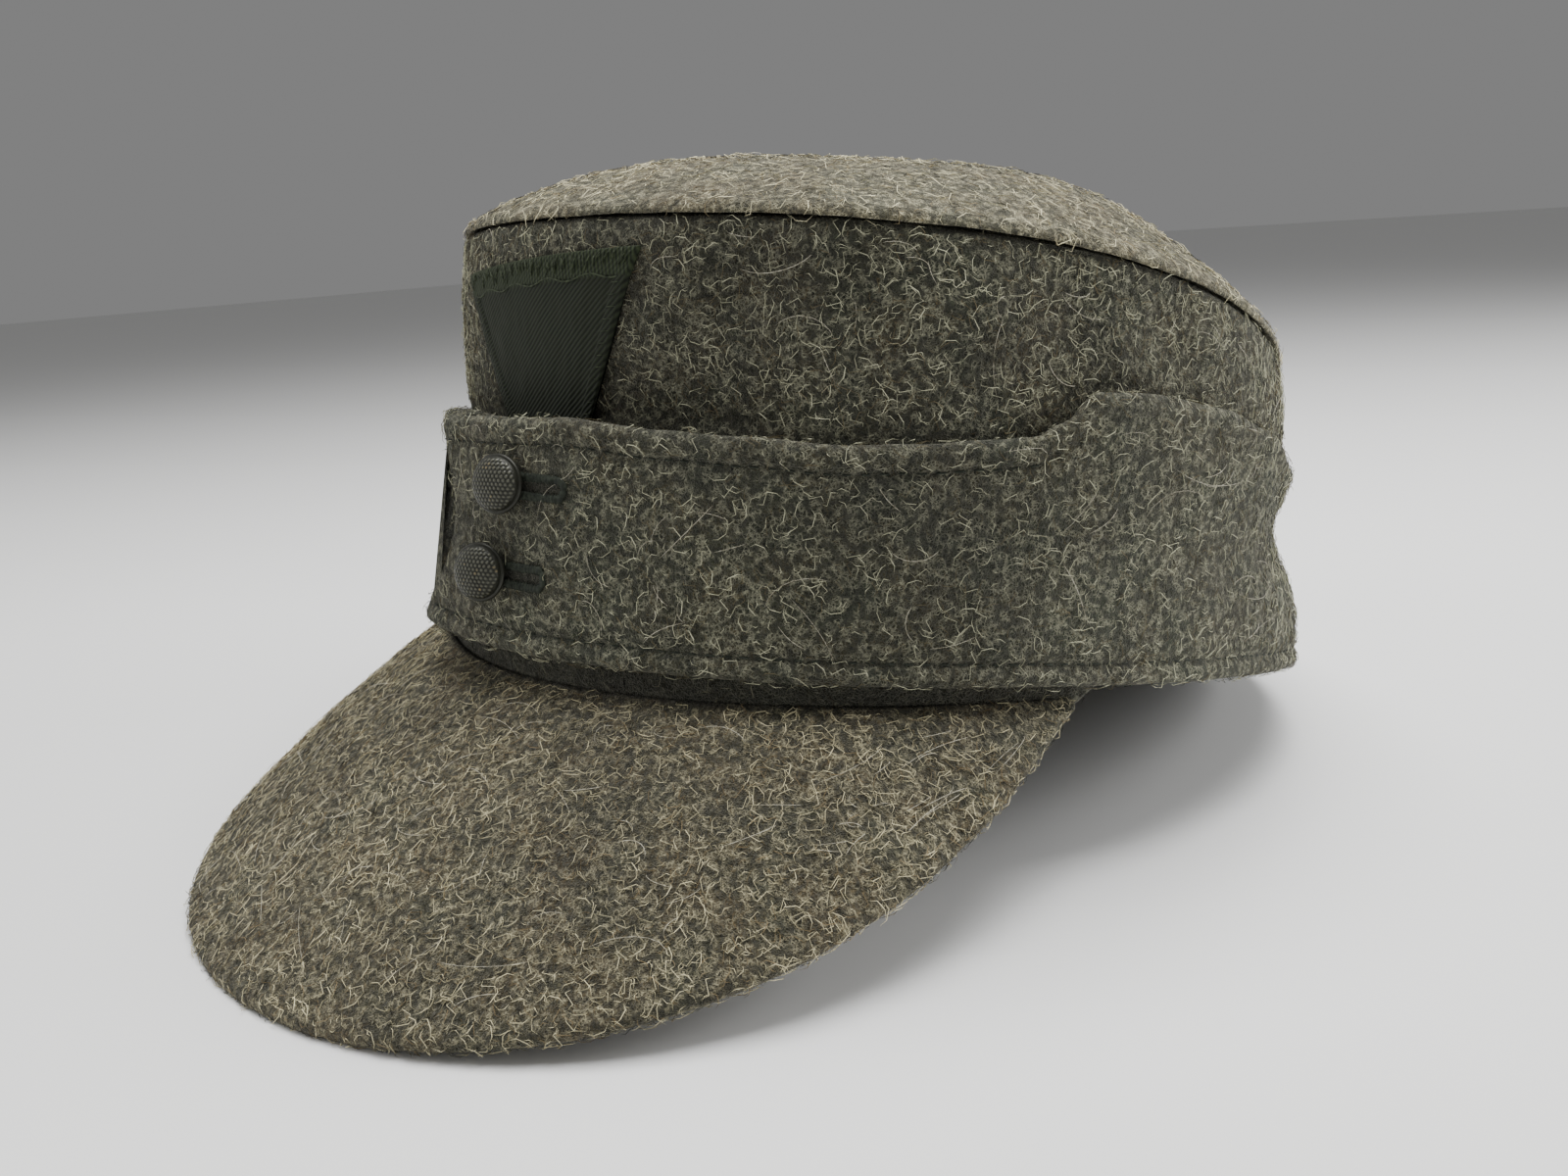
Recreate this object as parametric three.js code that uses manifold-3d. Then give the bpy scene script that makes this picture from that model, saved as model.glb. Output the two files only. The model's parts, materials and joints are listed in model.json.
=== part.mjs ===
// A cloth field cap with a sewn peak, a buttoned turn-up and a domed oval top.
// It rests on the peak's edge and the rear rim.
// Millimetres, +Z up, front towards -Y, the wearer's left towards +X.
import * as THREE from 'three';
import { mergeVertices } from 'three/addons/utils/BufferGeometryUtils.js';
import Module from 'manifold-3d';

const wasm = await Module();
wasm.setup();

// Driving dimensions
const gap = 0.3;                  // kept between neighbouring pieces
const headHalfWidth = 89.5;       // inside of the head hollow, relaxed and rounder than a head
const headHalfLength = 98.7;
const bodyWall = 2.2;             // thickness of the wool cloth, doubled with its facing
const panelWall = 2.2;
const turnUpWall = 2.4;
const foldClearance = 1.4;        // how far the turn-up stands off the body
const rearHug = 0.85;             // share by which the turn-up leans in after the crown at the rear

const frontHeight = 80.4;         // crown seam above the base plane, at the front, sides and rear
const sideHeight = 74.2;
const rearHeight = 47.4;
const seamHalfWidth = 90.2;
const seamHalfLength = 93.1;
const seamForward = 7.0;          // the top panel sits this far towards the front
const domeHeight = 22;
const domeFullness = 3.2;
const sideBulge = 1.6;
const frontHollow = 5.5;          // the crown's front dips in above the turn-up
const hollowSpread = 35;          // degrees either side of the front that it takes in
const dentDepth = 3.4;
const lipWidth = 6;               // seam allowance that carries the top panel
const panelRoll = 1.1;            // rounding of the top panel's edge

const hemFront = 1.2;             // lower edge of the turn-up
const hemSide = 3.15;
const hemRear = -7.5;
const bandShow = 10.2;            // how far the body reaches below the turn-up at the front
const turnUpHeight = 41.3;        // at the front
const rollHeight = 5;             // the rolled edge above the stitch groove
const grooveDepth = 0.5;
const grooveReach = 0.02;         // as a share of the turn-up's height
const grooveStep = 0.03;
const lapRise = 1.5;              // how far the upper end stands off at the lap
const lapWall = 1.6;              // the under end is single cloth
const lapSettle = 3.5;            // how gently both ends come back to the oval
const endCurl = 0.8;              // the upper end's lower corner turns out
const curlTall = 0.3;
const endDrop = 1.3;              // the upper end's top corner sits lower
const prowLift = 1.7;             // the upper end runs on straighter than the oval
const prowReach = 26;             // from the buttons' line, where it begins to
const endReach = 18;              // from the buttons' line to the upper end's edge
const underReach = 13;            // from the buttons' line to the under end's edge
const hugStart = 75;              // degrees from the front where the turn-up begins to lean in
const hugSpread = 50;

const peakLength = 74.4;
const peakThick = 3.5;
const peakSlope = 42.5;           // degrees below level at the middle
const peakSlopeGain = 4.3;        // more of it towards the ends
const peakEndAngle = 71.4;        // degrees either side of the middle
const peakSewn = 0.965;           // the share of that angle where the sewn ends stop
const peakFullness = 1.33;
const peakSplay = 1.256;
const peakBow = 2.2;
const peakSeamFront = 4.1;        // the peak's seam below the base plane at the middle
const peakSeamRise = 6.2;
const peakTaper = 0.45;           // share of its thickness that goes towards the sewn ends
const taperReach = 3;
const footLimit = 0.8;

const buttonRadius = 5.55;
const buttonDome = 3;
const buttonRim = 0.9;
const buttonSpacing = 16.7;
const upperButtonHeight = 32.5;
const buttonAside = 2.5;          // both buttons lie this far towards the wearer's left
const buttonLean = 4.5;           // and the upper one this much further
const shankRadius = 0.9;
const slotLength = 17.5;
const slotWidth = 2.2;
const stitchWidth = 1.3;
const stitchThick = 0.4;
const stitchClear = 0.2;          // from the slot's edge to its stitching

const patchTopHalf = 27;
const patchBottomHalf = 9.5;
const patchHeight = 37;
const patchBelowSeam = 6.5;
const patchAside = 3;             // the patch sits this far towards the wearer's left
const patchTurn = 4;              // and is sewn on turned by this many degrees
const patchWall = 0.8;

const restTrim = 0.8;             // the cloth that the cap's own weight flattens
const aroundSteps = 56;
const seatStep = 0.01;
const plain = 1e-6;               // marks a face that has no groove
const cutterSpare = 2.2;
const lipShrink = 0.002;

// Height of the turn-up's top edge round the cap, as shares of its height at the front
const turnUpTop = [
  { angle: 0, height: 1.05 }, { angle: 12, height: 1.065 }, { angle: 24, height: 1.03 },
  { angle: 33, height: 1.015 }, { angle: 42, height: 0.995 }, { angle: 50, height: 1.01 },
  { angle: 57, height: 1.035 }, { angle: 61, height: 1.055 }, { angle: 64, height: 1.12 },
  { angle: 67.5, height: 1.255 }, { angle: 73, height: 1.262 }, { angle: 84, height: 1.238 },
  { angle: 94, height: 1.178 }, { angle: 106, height: 1.04 }, { angle: 125, height: 0.95 },
  { angle: 180, height: 0.92 },
];
// Share of the front band that shows below the turn-up
const bandShare = [
  { angle: 0, show: 1 }, { angle: 40, show: 0.97 }, { angle: 62, show: 0.85 }, { angle: 69, show: 0.45 },
  { angle: 73, show: 0.05 }, { angle: 90, show: 0.03 }, { angle: 112, show: 0.1 }, { angle: 180, show: 0.15 },
];
// Soft dents of the side wall: place, reach and depth as a share of the deepest
const sideDents = [
  { angle: 30, up: 0.87, wide: 5, tall: 0.1, deep: 0.6 },
  { angle: 43, up: 0.86, wide: 4.5, tall: 0.12, deep: 0.5 },
  { angle: 68, up: 0.88, wide: 6, tall: 0.12, deep: 0.5 },
  { angle: 81, up: 0.86, wide: 5, tall: 0.12, deep: 0.45 },
  { angle: 27, up: 0.62, wide: 13, tall: 0.16, deep: 0.9 },
  { angle: 66, up: 0.66, wide: 16, tall: 0.16, deep: 0.55 },
  { angle: 120, up: 0.42, wide: 30, tall: 0.2, deep: 0.9 },
  { angle: 116, up: 0.56, wide: 16, tall: 0.13, deep: 1.1 },
  { angle: 165, up: 0.6, wide: 20, tall: 0.2, deep: 0.5 },
  { angle: -27, up: 0.37, wide: 14, tall: 0.19, deep: 0.8 },
  { angle: -30, up: 0.62, wide: 14, tall: 0.16, deep: 0.15 },
  { angle: -48, up: 0.87, wide: 5, tall: 0.12, deep: 0.5 },
  { angle: -70, up: 0.7, wide: 15, tall: 0.18, deep: 0.6 },
  { angle: -88, up: 0.86, wide: 6, tall: 0.12, deep: 0.5 },
  { angle: -125, up: 0.42, wide: 26, tall: 0.17, deep: 0.9 },
  { angle: -140, up: 0.8, wide: 12, tall: 0.14, deep: 0.5 },
];
// Humps and hollows of the top panel, placed by shares of its half axes, their height a share of the dome
const topSwells = [
  { across: 0.1, along: -0.45, reach: 0.35, rise: 0.04 },
  { across: 0.75, along: -0.06, reach: 0.38, rise: 0.4 },
  { across: -0.7, along: -0.05, reach: 0.38, rise: 0.2 },
  { across: 0.1, along: 0.1, reach: 0.3, rise: -0.08 },
  { across: -0.2, along: 0.55, reach: 0.35, rise: 0.06 },
];
// How far the turn-up leans off its oval, round the cap and up its height, in shares of the fold clearance
const turnUpSwells = [
  { angle: 70, up: 0.95, wide: 9, tall: 0.2, out: 1.0 },
  { angle: -27, up: 0.55, wide: 13, tall: 0.4, out: -1.7 },
  { angle: -112, up: 0.9, wide: 20, tall: 0.16, out: 0.4 },
  { angle: -70, up: 0.95, wide: 10, tall: 0.2, out: 0.8 },
  { angle: 180, up: 0.5, wide: 30, tall: 0.3, out: -0.4 },
];
// The upper end's edge in shares of its reach: it runs on at the top and bottom and swings back between
const endShape = [
  { up: 1, tall: 0.25, reach: 0.25 },
  { up: 0.55, tall: 0.25, reach: -0.3 },
  { up: 0, tall: 0.22, reach: 0.65 },
];
// Each button's place, the degrees that it is turned on its shank and how far its back is off the cloth
const buttonPlaces = [
  { name: 'upper', height: upperButtonHeight, along: buttonAside + buttonLean, turn: 14, off: 2.4 },
  { name: 'lower', height: upperButtonHeight - buttonSpacing, along: buttonAside, turn: 20, off: 3.1 },
];

const rimHalfWidth = headHalfWidth + bodyWall;
const rimHalfLength = headHalfLength + bodyWall;
const turnUpHalfWidth = rimHalfWidth + foldClearance + turnUpWall;
const turnUpHalfLength = rimHalfLength + foldClearance + turnUpWall;
const grooveUp = 1 - rollHeight / turnUpHeight;

const radians = THREE.MathUtils.degToRad;
const mix = THREE.MathUtils.lerp;
const smooth = (x) => THREE.MathUtils.smoothstep(x, 0, 1);

// A value that runs front, side, rear, side round the cap
function threeWay(angle, front, side, rear) {
  const level = (front + rear) / 4 + side / 2;
  const pitch = (front - rear) / 2;
  const saddle = (front + rear) / 4 - side / 2;
  return level + pitch * Math.cos(angle) + saddle * Math.cos(2 * angle);
}

// Reads a table by the angle from the front, the same on both sides
function readTable(table, angle, column) {
  let degrees = Math.abs(THREE.MathUtils.radToDeg(angle)) % 360;
  degrees = Math.min(degrees > 180 ? 360 - degrees : degrees, table.at(-1).angle);
  const next = Math.max(1, table.findIndex((row) => row.angle >= degrees));
  const [a, b] = [table[next - 1], table[next]];
  return mix(a[column], b[column], smooth((degrees - a.angle) / (b.angle - a.angle)));
}

// Distance between two angles in degrees, the short way round
function turnBetween(angle, degrees) {
  const turn = (THREE.MathUtils.radToDeg(angle) - degrees) % 360;
  return turn > 180 ? turn - 360 : turn < -180 ? turn + 360 : turn;
}

function bump(x, reach) {
  return Math.exp(-((x / reach) ** 2));
}

// A point of an oval ring, moved outwards along its normal in plan
function ringPoint(angle, halfWidth, halfLength, forward, height, outward) {
  const normal = new THREE.Vector2(Math.sin(angle) * halfLength, -Math.cos(angle) * halfWidth).normalize();
  const x = halfWidth * Math.sin(angle) + outward * normal.x;
  const y = -halfLength * Math.cos(angle) - forward + outward * normal.y;
  return new THREE.Vector3(x, y, height);
}

const hemHeight = (angle) => threeWay(angle, hemFront, hemSide, hemRear);
const seamHeight = (angle) => threeWay(angle, frontHeight, sideHeight, rearHeight);
const rimHeight = (angle) => hemHeight(angle) - bandShow * readTable(bandShare, angle, 'show');

// The side wall: up runs from the rim to the crown seam
function sidePoint(angle, up, inward) {
  let outward = sideBulge * Math.sin(Math.PI * up);
  outward -= frontHollow * Math.sin(Math.PI * Math.min(1, up)) ** 2 * bump(turnBetween(angle, 0), hollowSpread);
  for (const dent of sideDents) {
    const reach = bump(turnBetween(angle, dent.angle), dent.wide) * bump(up - dent.up, dent.tall);
    outward -= dentDepth * dent.deep * reach;
  }
  const width = mix(rimHalfWidth, seamHalfWidth, up);
  const length = mix(rimHalfLength, seamHalfLength, up);
  const height = mix(rimHeight(angle), seamHeight(angle), up);
  return ringPoint(angle, width, length, seamForward * up, height, outward - inward);
}

// The share of the side wall that lies at a height
function sideShare(angle, height) {
  return (height - rimHeight(angle)) / (seamHeight(angle) - rimHeight(angle));
}

// The top panel: share 1 is its seam and 0 its middle
function topPoint(angle, share, below) {
  const centre = (frontHeight + rearHeight) / 4 + sideHeight / 2;
  const pitch = (frontHeight - rearHeight) / 2;
  const saddle = (frontHeight + rearHeight) / 4 - sideHeight / 2;
  let height = centre + pitch * share * Math.cos(angle) + saddle * share * share * Math.cos(2 * angle);
  height += panelWall + gap + domeHeight * (1 - share ** domeFullness);
  for (const swell of topSwells) {
    const across = share * Math.sin(angle) - swell.across;
    const along = -share * Math.cos(angle) - swell.along;
    height += domeHeight * swell.rise * bump(Math.hypot(across, along), swell.reach) * (1 - share ** 2);
  }
  return ringPoint(angle, seamHalfWidth * share, seamHalfLength * share, seamForward, height - below, 0);
}

// The turn-up: up runs from its hem to its top edge, lift moves one end over the other
function turnUpPoint(angle, up, inward, lift) {
  const base = hemHeight(angle);
  const height = base + up * turnUpHeight * readTable(turnUpTop, angle, 'height');
  const toRear = smooth((Math.abs(turnBetween(angle, 0)) - hugStart) / hugSpread);
  let outward = lift - inward;
  for (const swell of turnUpSwells) {
    outward += foldClearance * swell.out * bump(turnBetween(angle, swell.angle), swell.wide)
      * bump(up - swell.up, swell.tall);
  }
  const groove = grooveDepth * (bump(up - grooveUp, grooveReach) + bump(up - (1 - grooveUp), grooveReach));
  outward -= inward === 0 ? groove : 0;
  const upright = ringPoint(angle, turnUpHalfWidth, turnUpHalfLength, 0, height, outward);
  const leaning = sidePoint(angle, sideShare(angle, height), -foldClearance - turnUpWall - outward);
  return upright.lerp(leaning, rearHug * toRear);
}

// The peak: out runs from its seam to its edge, below goes down through its thickness
function peakFrame(angle) {
  const share = angle / radians(peakEndAngle);
  const slope = radians(peakSlope + peakSlopeGain * share ** 2);
  const heading = Math.atan2(Math.sin(angle) / rimHalfWidth, Math.cos(angle) / rimHalfLength) * peakSplay;
  const ahead = new THREE.Vector3(Math.sin(heading), -Math.cos(heading), 0);
  const above = new THREE.Vector3(0, 0, 1);
  const run = ahead.clone().multiplyScalar(Math.cos(slope)).addScaledVector(above, -Math.sin(slope));
  const face = ahead.clone().multiplyScalar(Math.sin(slope)).addScaledVector(above, Math.cos(slope));
  const room = Math.max(0, 1 - share ** 2);
  const length = peakLength * room ** peakFullness;
  const thick = peakThick * (1 - peakTaper * (1 - Math.min(1, taperReach * room)));
  const seam = -peakSeamFront + peakSeamRise * Math.sin(angle) ** 2;
  const wall = sidePoint(angle, sideShare(angle, seam), -gap);
  const foot = sidePoint(angle, sideShare(angle, seam - thick / Math.cos(slope)), -gap);
  return { run, face, length, thick, wall, foot, slope };
}

function peakPoint(angle, out, lower) {
  const { run, face, length, thick, wall, foot, slope } = peakFrame(angle);
  if (lower && out === 0) return foot;
  const roll = 0.5 * thick;
  const reach = length - roll;
  const point = wall.clone();
  const start = lower ? thick * Math.tan(slope) : 0;
  const along = mix(Math.min(start, reach * footLimit), reach, out);
  point.addScaledVector(run, along);
  const bow = peakBow * Math.sin(Math.PI * Math.min(1, along / length)) * Math.min(1, length / peakLength);
  point.addScaledVector(face, bow - (lower ? thick : 0));
  return point;
}

// The round outer edge of the peak, turn 0 at its top face and 1 at its lower face
function peakEdge(angle, turn) {
  const { run, face, thick } = peakFrame(angle);
  const middle = peakPoint(angle, 1, false).addScaledVector(face, -thick / 2);
  const swing = Math.PI * (0.5 - turn);
  middle.addScaledVector(run, 0.5 * thick * Math.cos(swing));
  return middle.addScaledVector(face, 0.5 * thick * Math.sin(swing));
}

// Turns triangles of points into a merged geometry, leaving out those that have closed up
function geometryOf(triangles) {
  const positions = [];
  for (const triangle of triangles) {
    const [a, b, c] = triangle;
    const closed = [a.distanceTo(b), b.distanceTo(c), c.distanceTo(a)].some((side) => side < 1e-5);
    if (!closed) positions.push(...a.toArray(), ...b.toArray(), ...c.toArray());
  }
  const geometry = new THREE.BufferGeometry();
  geometry.setAttribute('position', new THREE.Float32BufferAttribute(positions, 3));
  return mergeVertices(geometry, 1e-4);
}

function addQuad(triangles, a, b, c, d) {
  triangles.push([a, b, c], [a, c, d]);
}

// A wall between two matching grids of points, rows run the long way and columns across it
function wallGeometry(face, back, closed) {
  const triangles = [];
  const rows = face.length;
  const last = face[0].length - 1;
  for (let i = 0; i < (closed ? rows : rows - 1); i += 1) {
    const next = (i + 1) % rows;
    for (let j = 0; j < last; j += 1) {
      addQuad(triangles, face[i][j], face[next][j], face[next][j + 1], face[i][j + 1]);
      addQuad(triangles, back[i][j], back[i][j + 1], back[next][j + 1], back[next][j]);
    }
    addQuad(triangles, face[i][0], back[i][0], back[next][0], face[next][0]);
    addQuad(triangles, face[i][last], face[next][last], back[next][last], back[i][last]);
  }
  if (!closed) {
    for (let j = 0; j < last; j += 1) {
      addQuad(triangles, face[0][j], face[0][j + 1], back[0][j + 1], back[0][j]);
      addQuad(triangles, face[rows - 1][j], back[rows - 1][j], back[rows - 1][j + 1], face[rows - 1][j + 1]);
    }
  }
  return geometryOf(triangles);
}

function toSolid(geometry) {
  const vertProperties = new Float32Array(geometry.attributes.position.array);
  const triVerts = new Uint32Array(geometry.index.array);
  return new wasm.Manifold(new wasm.Mesh({ numProp: 3, vertProperties, triVerts }));
}

function fromSolid(solid) {
  const { vertProperties, triVerts } = solid.getMesh();
  const geometry = new THREE.BufferGeometry();
  geometry.setAttribute('position', new THREE.Float32BufferAttribute(vertProperties, 3));
  geometry.setIndex(new THREE.Uint32BufferAttribute(triVerts, 1));
  return geometry;
}

function bareGeometry(geometry) {
  geometry.deleteAttribute('normal');
  geometry.deleteAttribute('uv');
  return mergeVertices(geometry, 1e-4);
}

const shares = (count) => Array.from({ length: count + 1 }, (_, i) => i / count);
const turnAngles = shares(aroundSteps).slice(0, aroundSteps).map((share) => 2 * Math.PI * share);

// Side wall with the turned-in lip that carries the top panel
function makeSide() {
  const levels = [0, 0.1, 0.28, 0.46, 0.58, 0.68, 0.78, 0.87, 0.95, 1];
  const lipShares = [0.5, 1].map((share) => 1 - (share * lipWidth) / seamHalfWidth);
  const outer = turnAngles.map((angle) => [
    ...levels.map((up) => sidePoint(angle, up, 0)),
    ...lipShares.map((share) => topPoint(angle, share, panelWall + gap)),
  ]);
  const inner = turnAngles.map((angle) => [
    ...levels.map((up) => sidePoint(angle, up * (1 - bodyWall / sideHeight), bodyWall)),
    ...lipShares.map((share) => topPoint(angle, share - lipShrink, panelWall + gap + bodyWall)),
  ]);
  return wallGeometry(outer, inner, true);
}

// Top panel with a rounded edge
function makeTop() {
  const rings = [0.96, 0.88, 0.76, 0.6, 0.42, 0.22, 0];
  const rollShare = 1 - panelRoll / seamHalfWidth;
  const upper = turnAngles.map((angle) => [
    topPoint(angle, 1, panelRoll), topPoint(angle, rollShare, 0), ...rings.map((share) => topPoint(angle, share, 0)),
  ]);
  const lower = turnAngles.map((angle) => [
    topPoint(angle, 1, panelWall), topPoint(angle, rollShare, panelWall),
    ...rings.map((share) => topPoint(angle, share, panelWall)),
  ]);
  return wallGeometry(upper, lower, true);
}

const alongArc = (length) => length / turnUpHalfLength;
const underEnd = alongArc(underReach);
const upperEnd = -alongArc(endReach);

// How far the upper end's edge runs on or swings back at a height
function endSwing(up) {
  const reach = endShape.reduce((sum, row) => sum + row.reach * bump(up - row.up, row.tall), 0);
  return alongArc(endReach) * reach;
}

// How far the strip stands off near its upper end, by the arc that is left of it
function prow(left) {
  return prowLift * smooth(1 - left / alongArc(endReach + prowReach));
}

// One strip right round the cap, whose upper end laps over the under end
function makeTurnUp() {
  const levels = [0, 1 - grooveUp - grooveStep, 1 - grooveUp, 1 - grooveUp + grooveStep, 0.4, 0.65,
    grooveUp - grooveStep, grooveUp, grooveUp + grooveStep, 1];
  const sweep = shares(aroundSteps + 4);
  const total = 2 * Math.PI + underEnd - upperEnd;
  const clear = alongArc(lapWall * lapSettle);
  const outer = [];
  const inner = [];
  for (const share of sweep) {
    const travel = share * total;
    const left = total - travel;
    const lap = underEnd - upperEnd;
    const sunk = 1 - smooth((travel - lap - clear) / (lapSettle * clear));
    const raised = 1 - smooth((left - lap - clear) / (lapSettle * clear));
    const thick = mix(turnUpWall, lapWall, sunk);
    const sink = lapWall + gap + turnUpWall - lapRise;
    const lift = lapRise * raised - (sink - lapWall) * sunk + prow(left);
    const loose = Math.max(sunk, raised);
    const ending = smooth(1 - left / -upperEnd);
    const turned = levels.map((up) => underEnd - travel - endSwing(up) * ending);
    const lifts = levels.map((up) => lift + endCurl * bump(up, curlTall) * ending);
    const drops = levels.map((up) => new THREE.Vector3(0, 0, endDrop * bump(1 - up, curlTall) * ending));
    outer.push(levels.map((up, row) => turnUpPoint(turned[row], up, 0, lifts[row]).sub(drops[row])));
    inner.push(levels.map((up, row) => {
      const angle = turned[row];
      const free = turnUpPoint(angle, up, thick, lifts[row]).sub(drops[row]);
      const sewn = sidePoint(angle, sideShare(angle, hemHeight(angle)), -gap);
      return row === 0 ? sewn.lerp(free, loose) : free;
    }));
  }
  return wallGeometry(outer.reverse(), inner.reverse(), false);
}

// Sewn peak, covered in the same cloth
function makePeak() {
  const reach = peakSewn * radians(peakEndAngle);
  const outs = [0, 0.15, 0.35, 0.6, 0.82, 1];
  const angles = shares(30).map((share) => mix(reach, -reach, share));
  const edgeTurn = [0.25, 0.5];
  const upper = angles.map((angle) => [
    ...outs.map((out) => peakPoint(angle, out, false)), ...edgeTurn.map((turn) => peakEdge(angle, turn)),
  ]);
  const lower = angles.map((angle) => [
    ...outs.map((out) => peakPoint(angle, out, true)), peakEdge(angle, 0.75), peakEdge(angle, 0.5),
  ]);
  return wallGeometry(upper, lower, false);
}

// A point of the lapped end's face, outward of it
function lapPoint(angle, up, outward) {
  return turnUpPoint(angle, up, -plain, lapRise + prow(angle - upperEnd) + outward);
}

// Where a button sits: on the lapped end, facing straight out of it
function buttonSeat(height, along) {
  const angle = alongArc(along);
  const up = (height - hemHeight(angle)) / (turnUpHeight * readTable(turnUpTop, angle, 'height'));
  const point = lapPoint(angle, up, 0);
  const ahead = lapPoint(angle + seatStep, up, 0).sub(point).normalize();
  const out = new THREE.Vector3(-ahead.y, ahead.x, 0).normalize().negate();
  return { angle, up, point, out, ahead };
}

// A frame whose Y looks out of the cloth and whose X runs towards the wearer's left
function seatMatrix(seat, offset) {
  const up = new THREE.Vector3().crossVectors(seat.ahead, seat.out);
  const matrix = new THREE.Matrix4().makeBasis(seat.ahead, seat.out, up);
  return matrix.setPosition(seat.point.clone().addScaledVector(seat.out, offset));
}

function makeButton(seat) {
  const depth = turnUpWall / 2;
  const shankEnd = -(seat.off + turnUpWall);
  const profile = [[0, shankEnd], [shankRadius, shankEnd], [shankRadius, 0], [buttonRadius - buttonRim, 0],
    [buttonRadius, 0.35 * buttonRim], [buttonRadius, 0.8 * buttonRim], [buttonRadius - buttonRim, buttonRim]];
  const domeBase = buttonRadius - buttonRim;
  for (const share of [0.25, 0.5, 0.75]) {
    const swing = (share * Math.PI) / 2;
    profile.push([domeBase * Math.cos(swing), buttonRim + (buttonDome - buttonRim) * Math.sin(swing)]);
  }
  profile.push([0, buttonDome]);
  const outline = profile.map(([x, y]) => new THREE.Vector2(x, y));
  const button = bareGeometry(new THREE.LatheGeometry(outline, 20));
  button.translate(0, seat.off + depth, 0);
  button.rotateZ(-radians(seat.turn));
  return button.applyMatrix4(seatMatrix(seat, -depth));
}

// A rounded slot outline beside the shank, running towards the wearer's left
function slotOutline(turn, grow) {
  const radius = slotWidth / 2 + grow;
  const straight = slotLength - slotWidth;
  const swing = 2 * Math.PI * turn;
  const shift = Math.cos(swing) > 0 ? straight : 0;
  return new THREE.Vector2(shift + radius * Math.cos(swing), radius * Math.sin(swing));
}

// A slot point laid on the lapped end's curved face
function onLap(seat, flat, outward) {
  const angle = seat.angle + alongArc(flat.x - shankRadius / 2);
  return lapPoint(angle, seat.up, outward).setZ(seat.point.z + flat.y);
}

const slotTurns = shares(24).slice(0, 24).map((share) => share + 0.5 / 24);

function makeStitching(seat) {
  const upper = slotTurns.map((turn) => [stitchClear, stitchClear + stitchWidth].map((grow) => (
    onLap(seat, slotOutline(turn, grow), gap + stitchThick))));
  const lower = slotTurns.map((turn) => [stitchClear, stitchClear + stitchWidth].map((grow) => (
    onLap(seat, slotOutline(turn, grow), gap))));
  return wallGeometry(lower, upper, true);
}

function makeSlotCutter(seat) {
  const outline = slotTurns.map((turn) => slotOutline(turn, 0));
  const shape = new THREE.Shape(outline);
  const depth = turnUpWall + cutterSpare;
  const cutter = new THREE.ExtrudeGeometry(shape, { depth, bevelEnabled: false });
  cutter.translate(-shankRadius / 2, 0, -depth / 2);
  cutter.rotateX(-Math.PI / 2);
  cutter.scale(1, 1, -1);
  cutter.index = null;
  const flipped = bareGeometry(cutter);
  const indices = flipped.index.array;
  for (let i = 0; i < indices.length; i += 3) {
    [indices[i], indices[i + 1]] = [indices[i + 1], indices[i]];
  }
  return flipped.applyMatrix4(seatMatrix(seat, -turnUpWall / 2));
}

// Bare cloth patch on the crown's front, its foot hidden behind the turn-up
function makePatch() {
  const top = frontHeight - patchBelowSeam;
  const rows = shares(6);
  const columns = shares(8);
  const lay = (raise) => columns.map((column) => rows.map((row) => {
    const across = mix(patchBottomHalf, patchTopHalf, row) * (2 * column - 1);
    const height = top - patchHeight * (1 - row) + across * Math.tan(radians(patchTurn));
    const aside = patchAside + patchHeight * (1 - row) * Math.tan(radians(patchTurn));
    const angle = Math.asin((across + aside) / seamHalfWidth);
    return sidePoint(angle, sideShare(angle, height), -raise);
  }));
  return wallGeometry(lay(gap + patchWall), lay(gap), false);
}

// The cap settles on the peak's edge and the rear rim
function restingTilt(geometries) {
  const lowest = (tilt, rear) => {
    let low = Infinity;
    for (const geometry of geometries) {
      const { array } = geometry.attributes.position;
      for (let i = 0; i < array.length; i += 3) {
        const height = array[i + 2] * Math.cos(tilt) - array[i + 1] * Math.sin(tilt);
        if (array[i + 1] > 0 === rear) low = Math.min(low, height);
      }
    }
    return low;
  };
  let [level, steep] = [0, radians(25)];
  for (let i = 0; i < 30; i += 1) {
    const tilt = (level + steep) / 2;
    if (lowest(tilt, false) < lowest(tilt, true)) level = tilt;
    else steep = tilt;
  }
  return { tilt: level, low: lowest(level, true) };
}

const seats = buttonPlaces.map((place) => ({ ...place, ...buttonSeat(place.height, place.along) }));
let turnUpSolid = toSolid(makeTurnUp());
for (const seat of seats) {
  turnUpSolid = turnUpSolid.subtract(toSolid(makeSlotCutter(seat)));
}

const pieces = [
  { name: 'crown_side', geometry: makeSide(), colour: 0x5d5a4c, rough: 0.95, metal: 0 },
  { name: 'crown_top', geometry: makeTop(), colour: 0x6b6656, rough: 0.95, metal: 0 },
  { name: 'turn_up', geometry: fromSolid(turnUpSolid), colour: 0x585745, rough: 0.95, metal: 0 },
  { name: 'peak', geometry: makePeak(), colour: 0x665e4c, rough: 0.95, metal: 0 },
  { name: 'badge_patch', geometry: makePatch(), colour: 0x2c3326, rough: 0.8, metal: 0 },
];
for (const seat of seats) {
  const [button, stitching] = [makeButton(seat), makeStitching(seat)];
  pieces.push({ name: `button_${seat.name}`, geometry: button, colour: 0x474a3e, rough: 0.5, metal: 0.7 });
  pieces.push({ name: `buttonhole_${seat.name}`, geometry: stitching, colour: 0x2e352a, rough: 0.85, metal: 0 });
}

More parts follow.
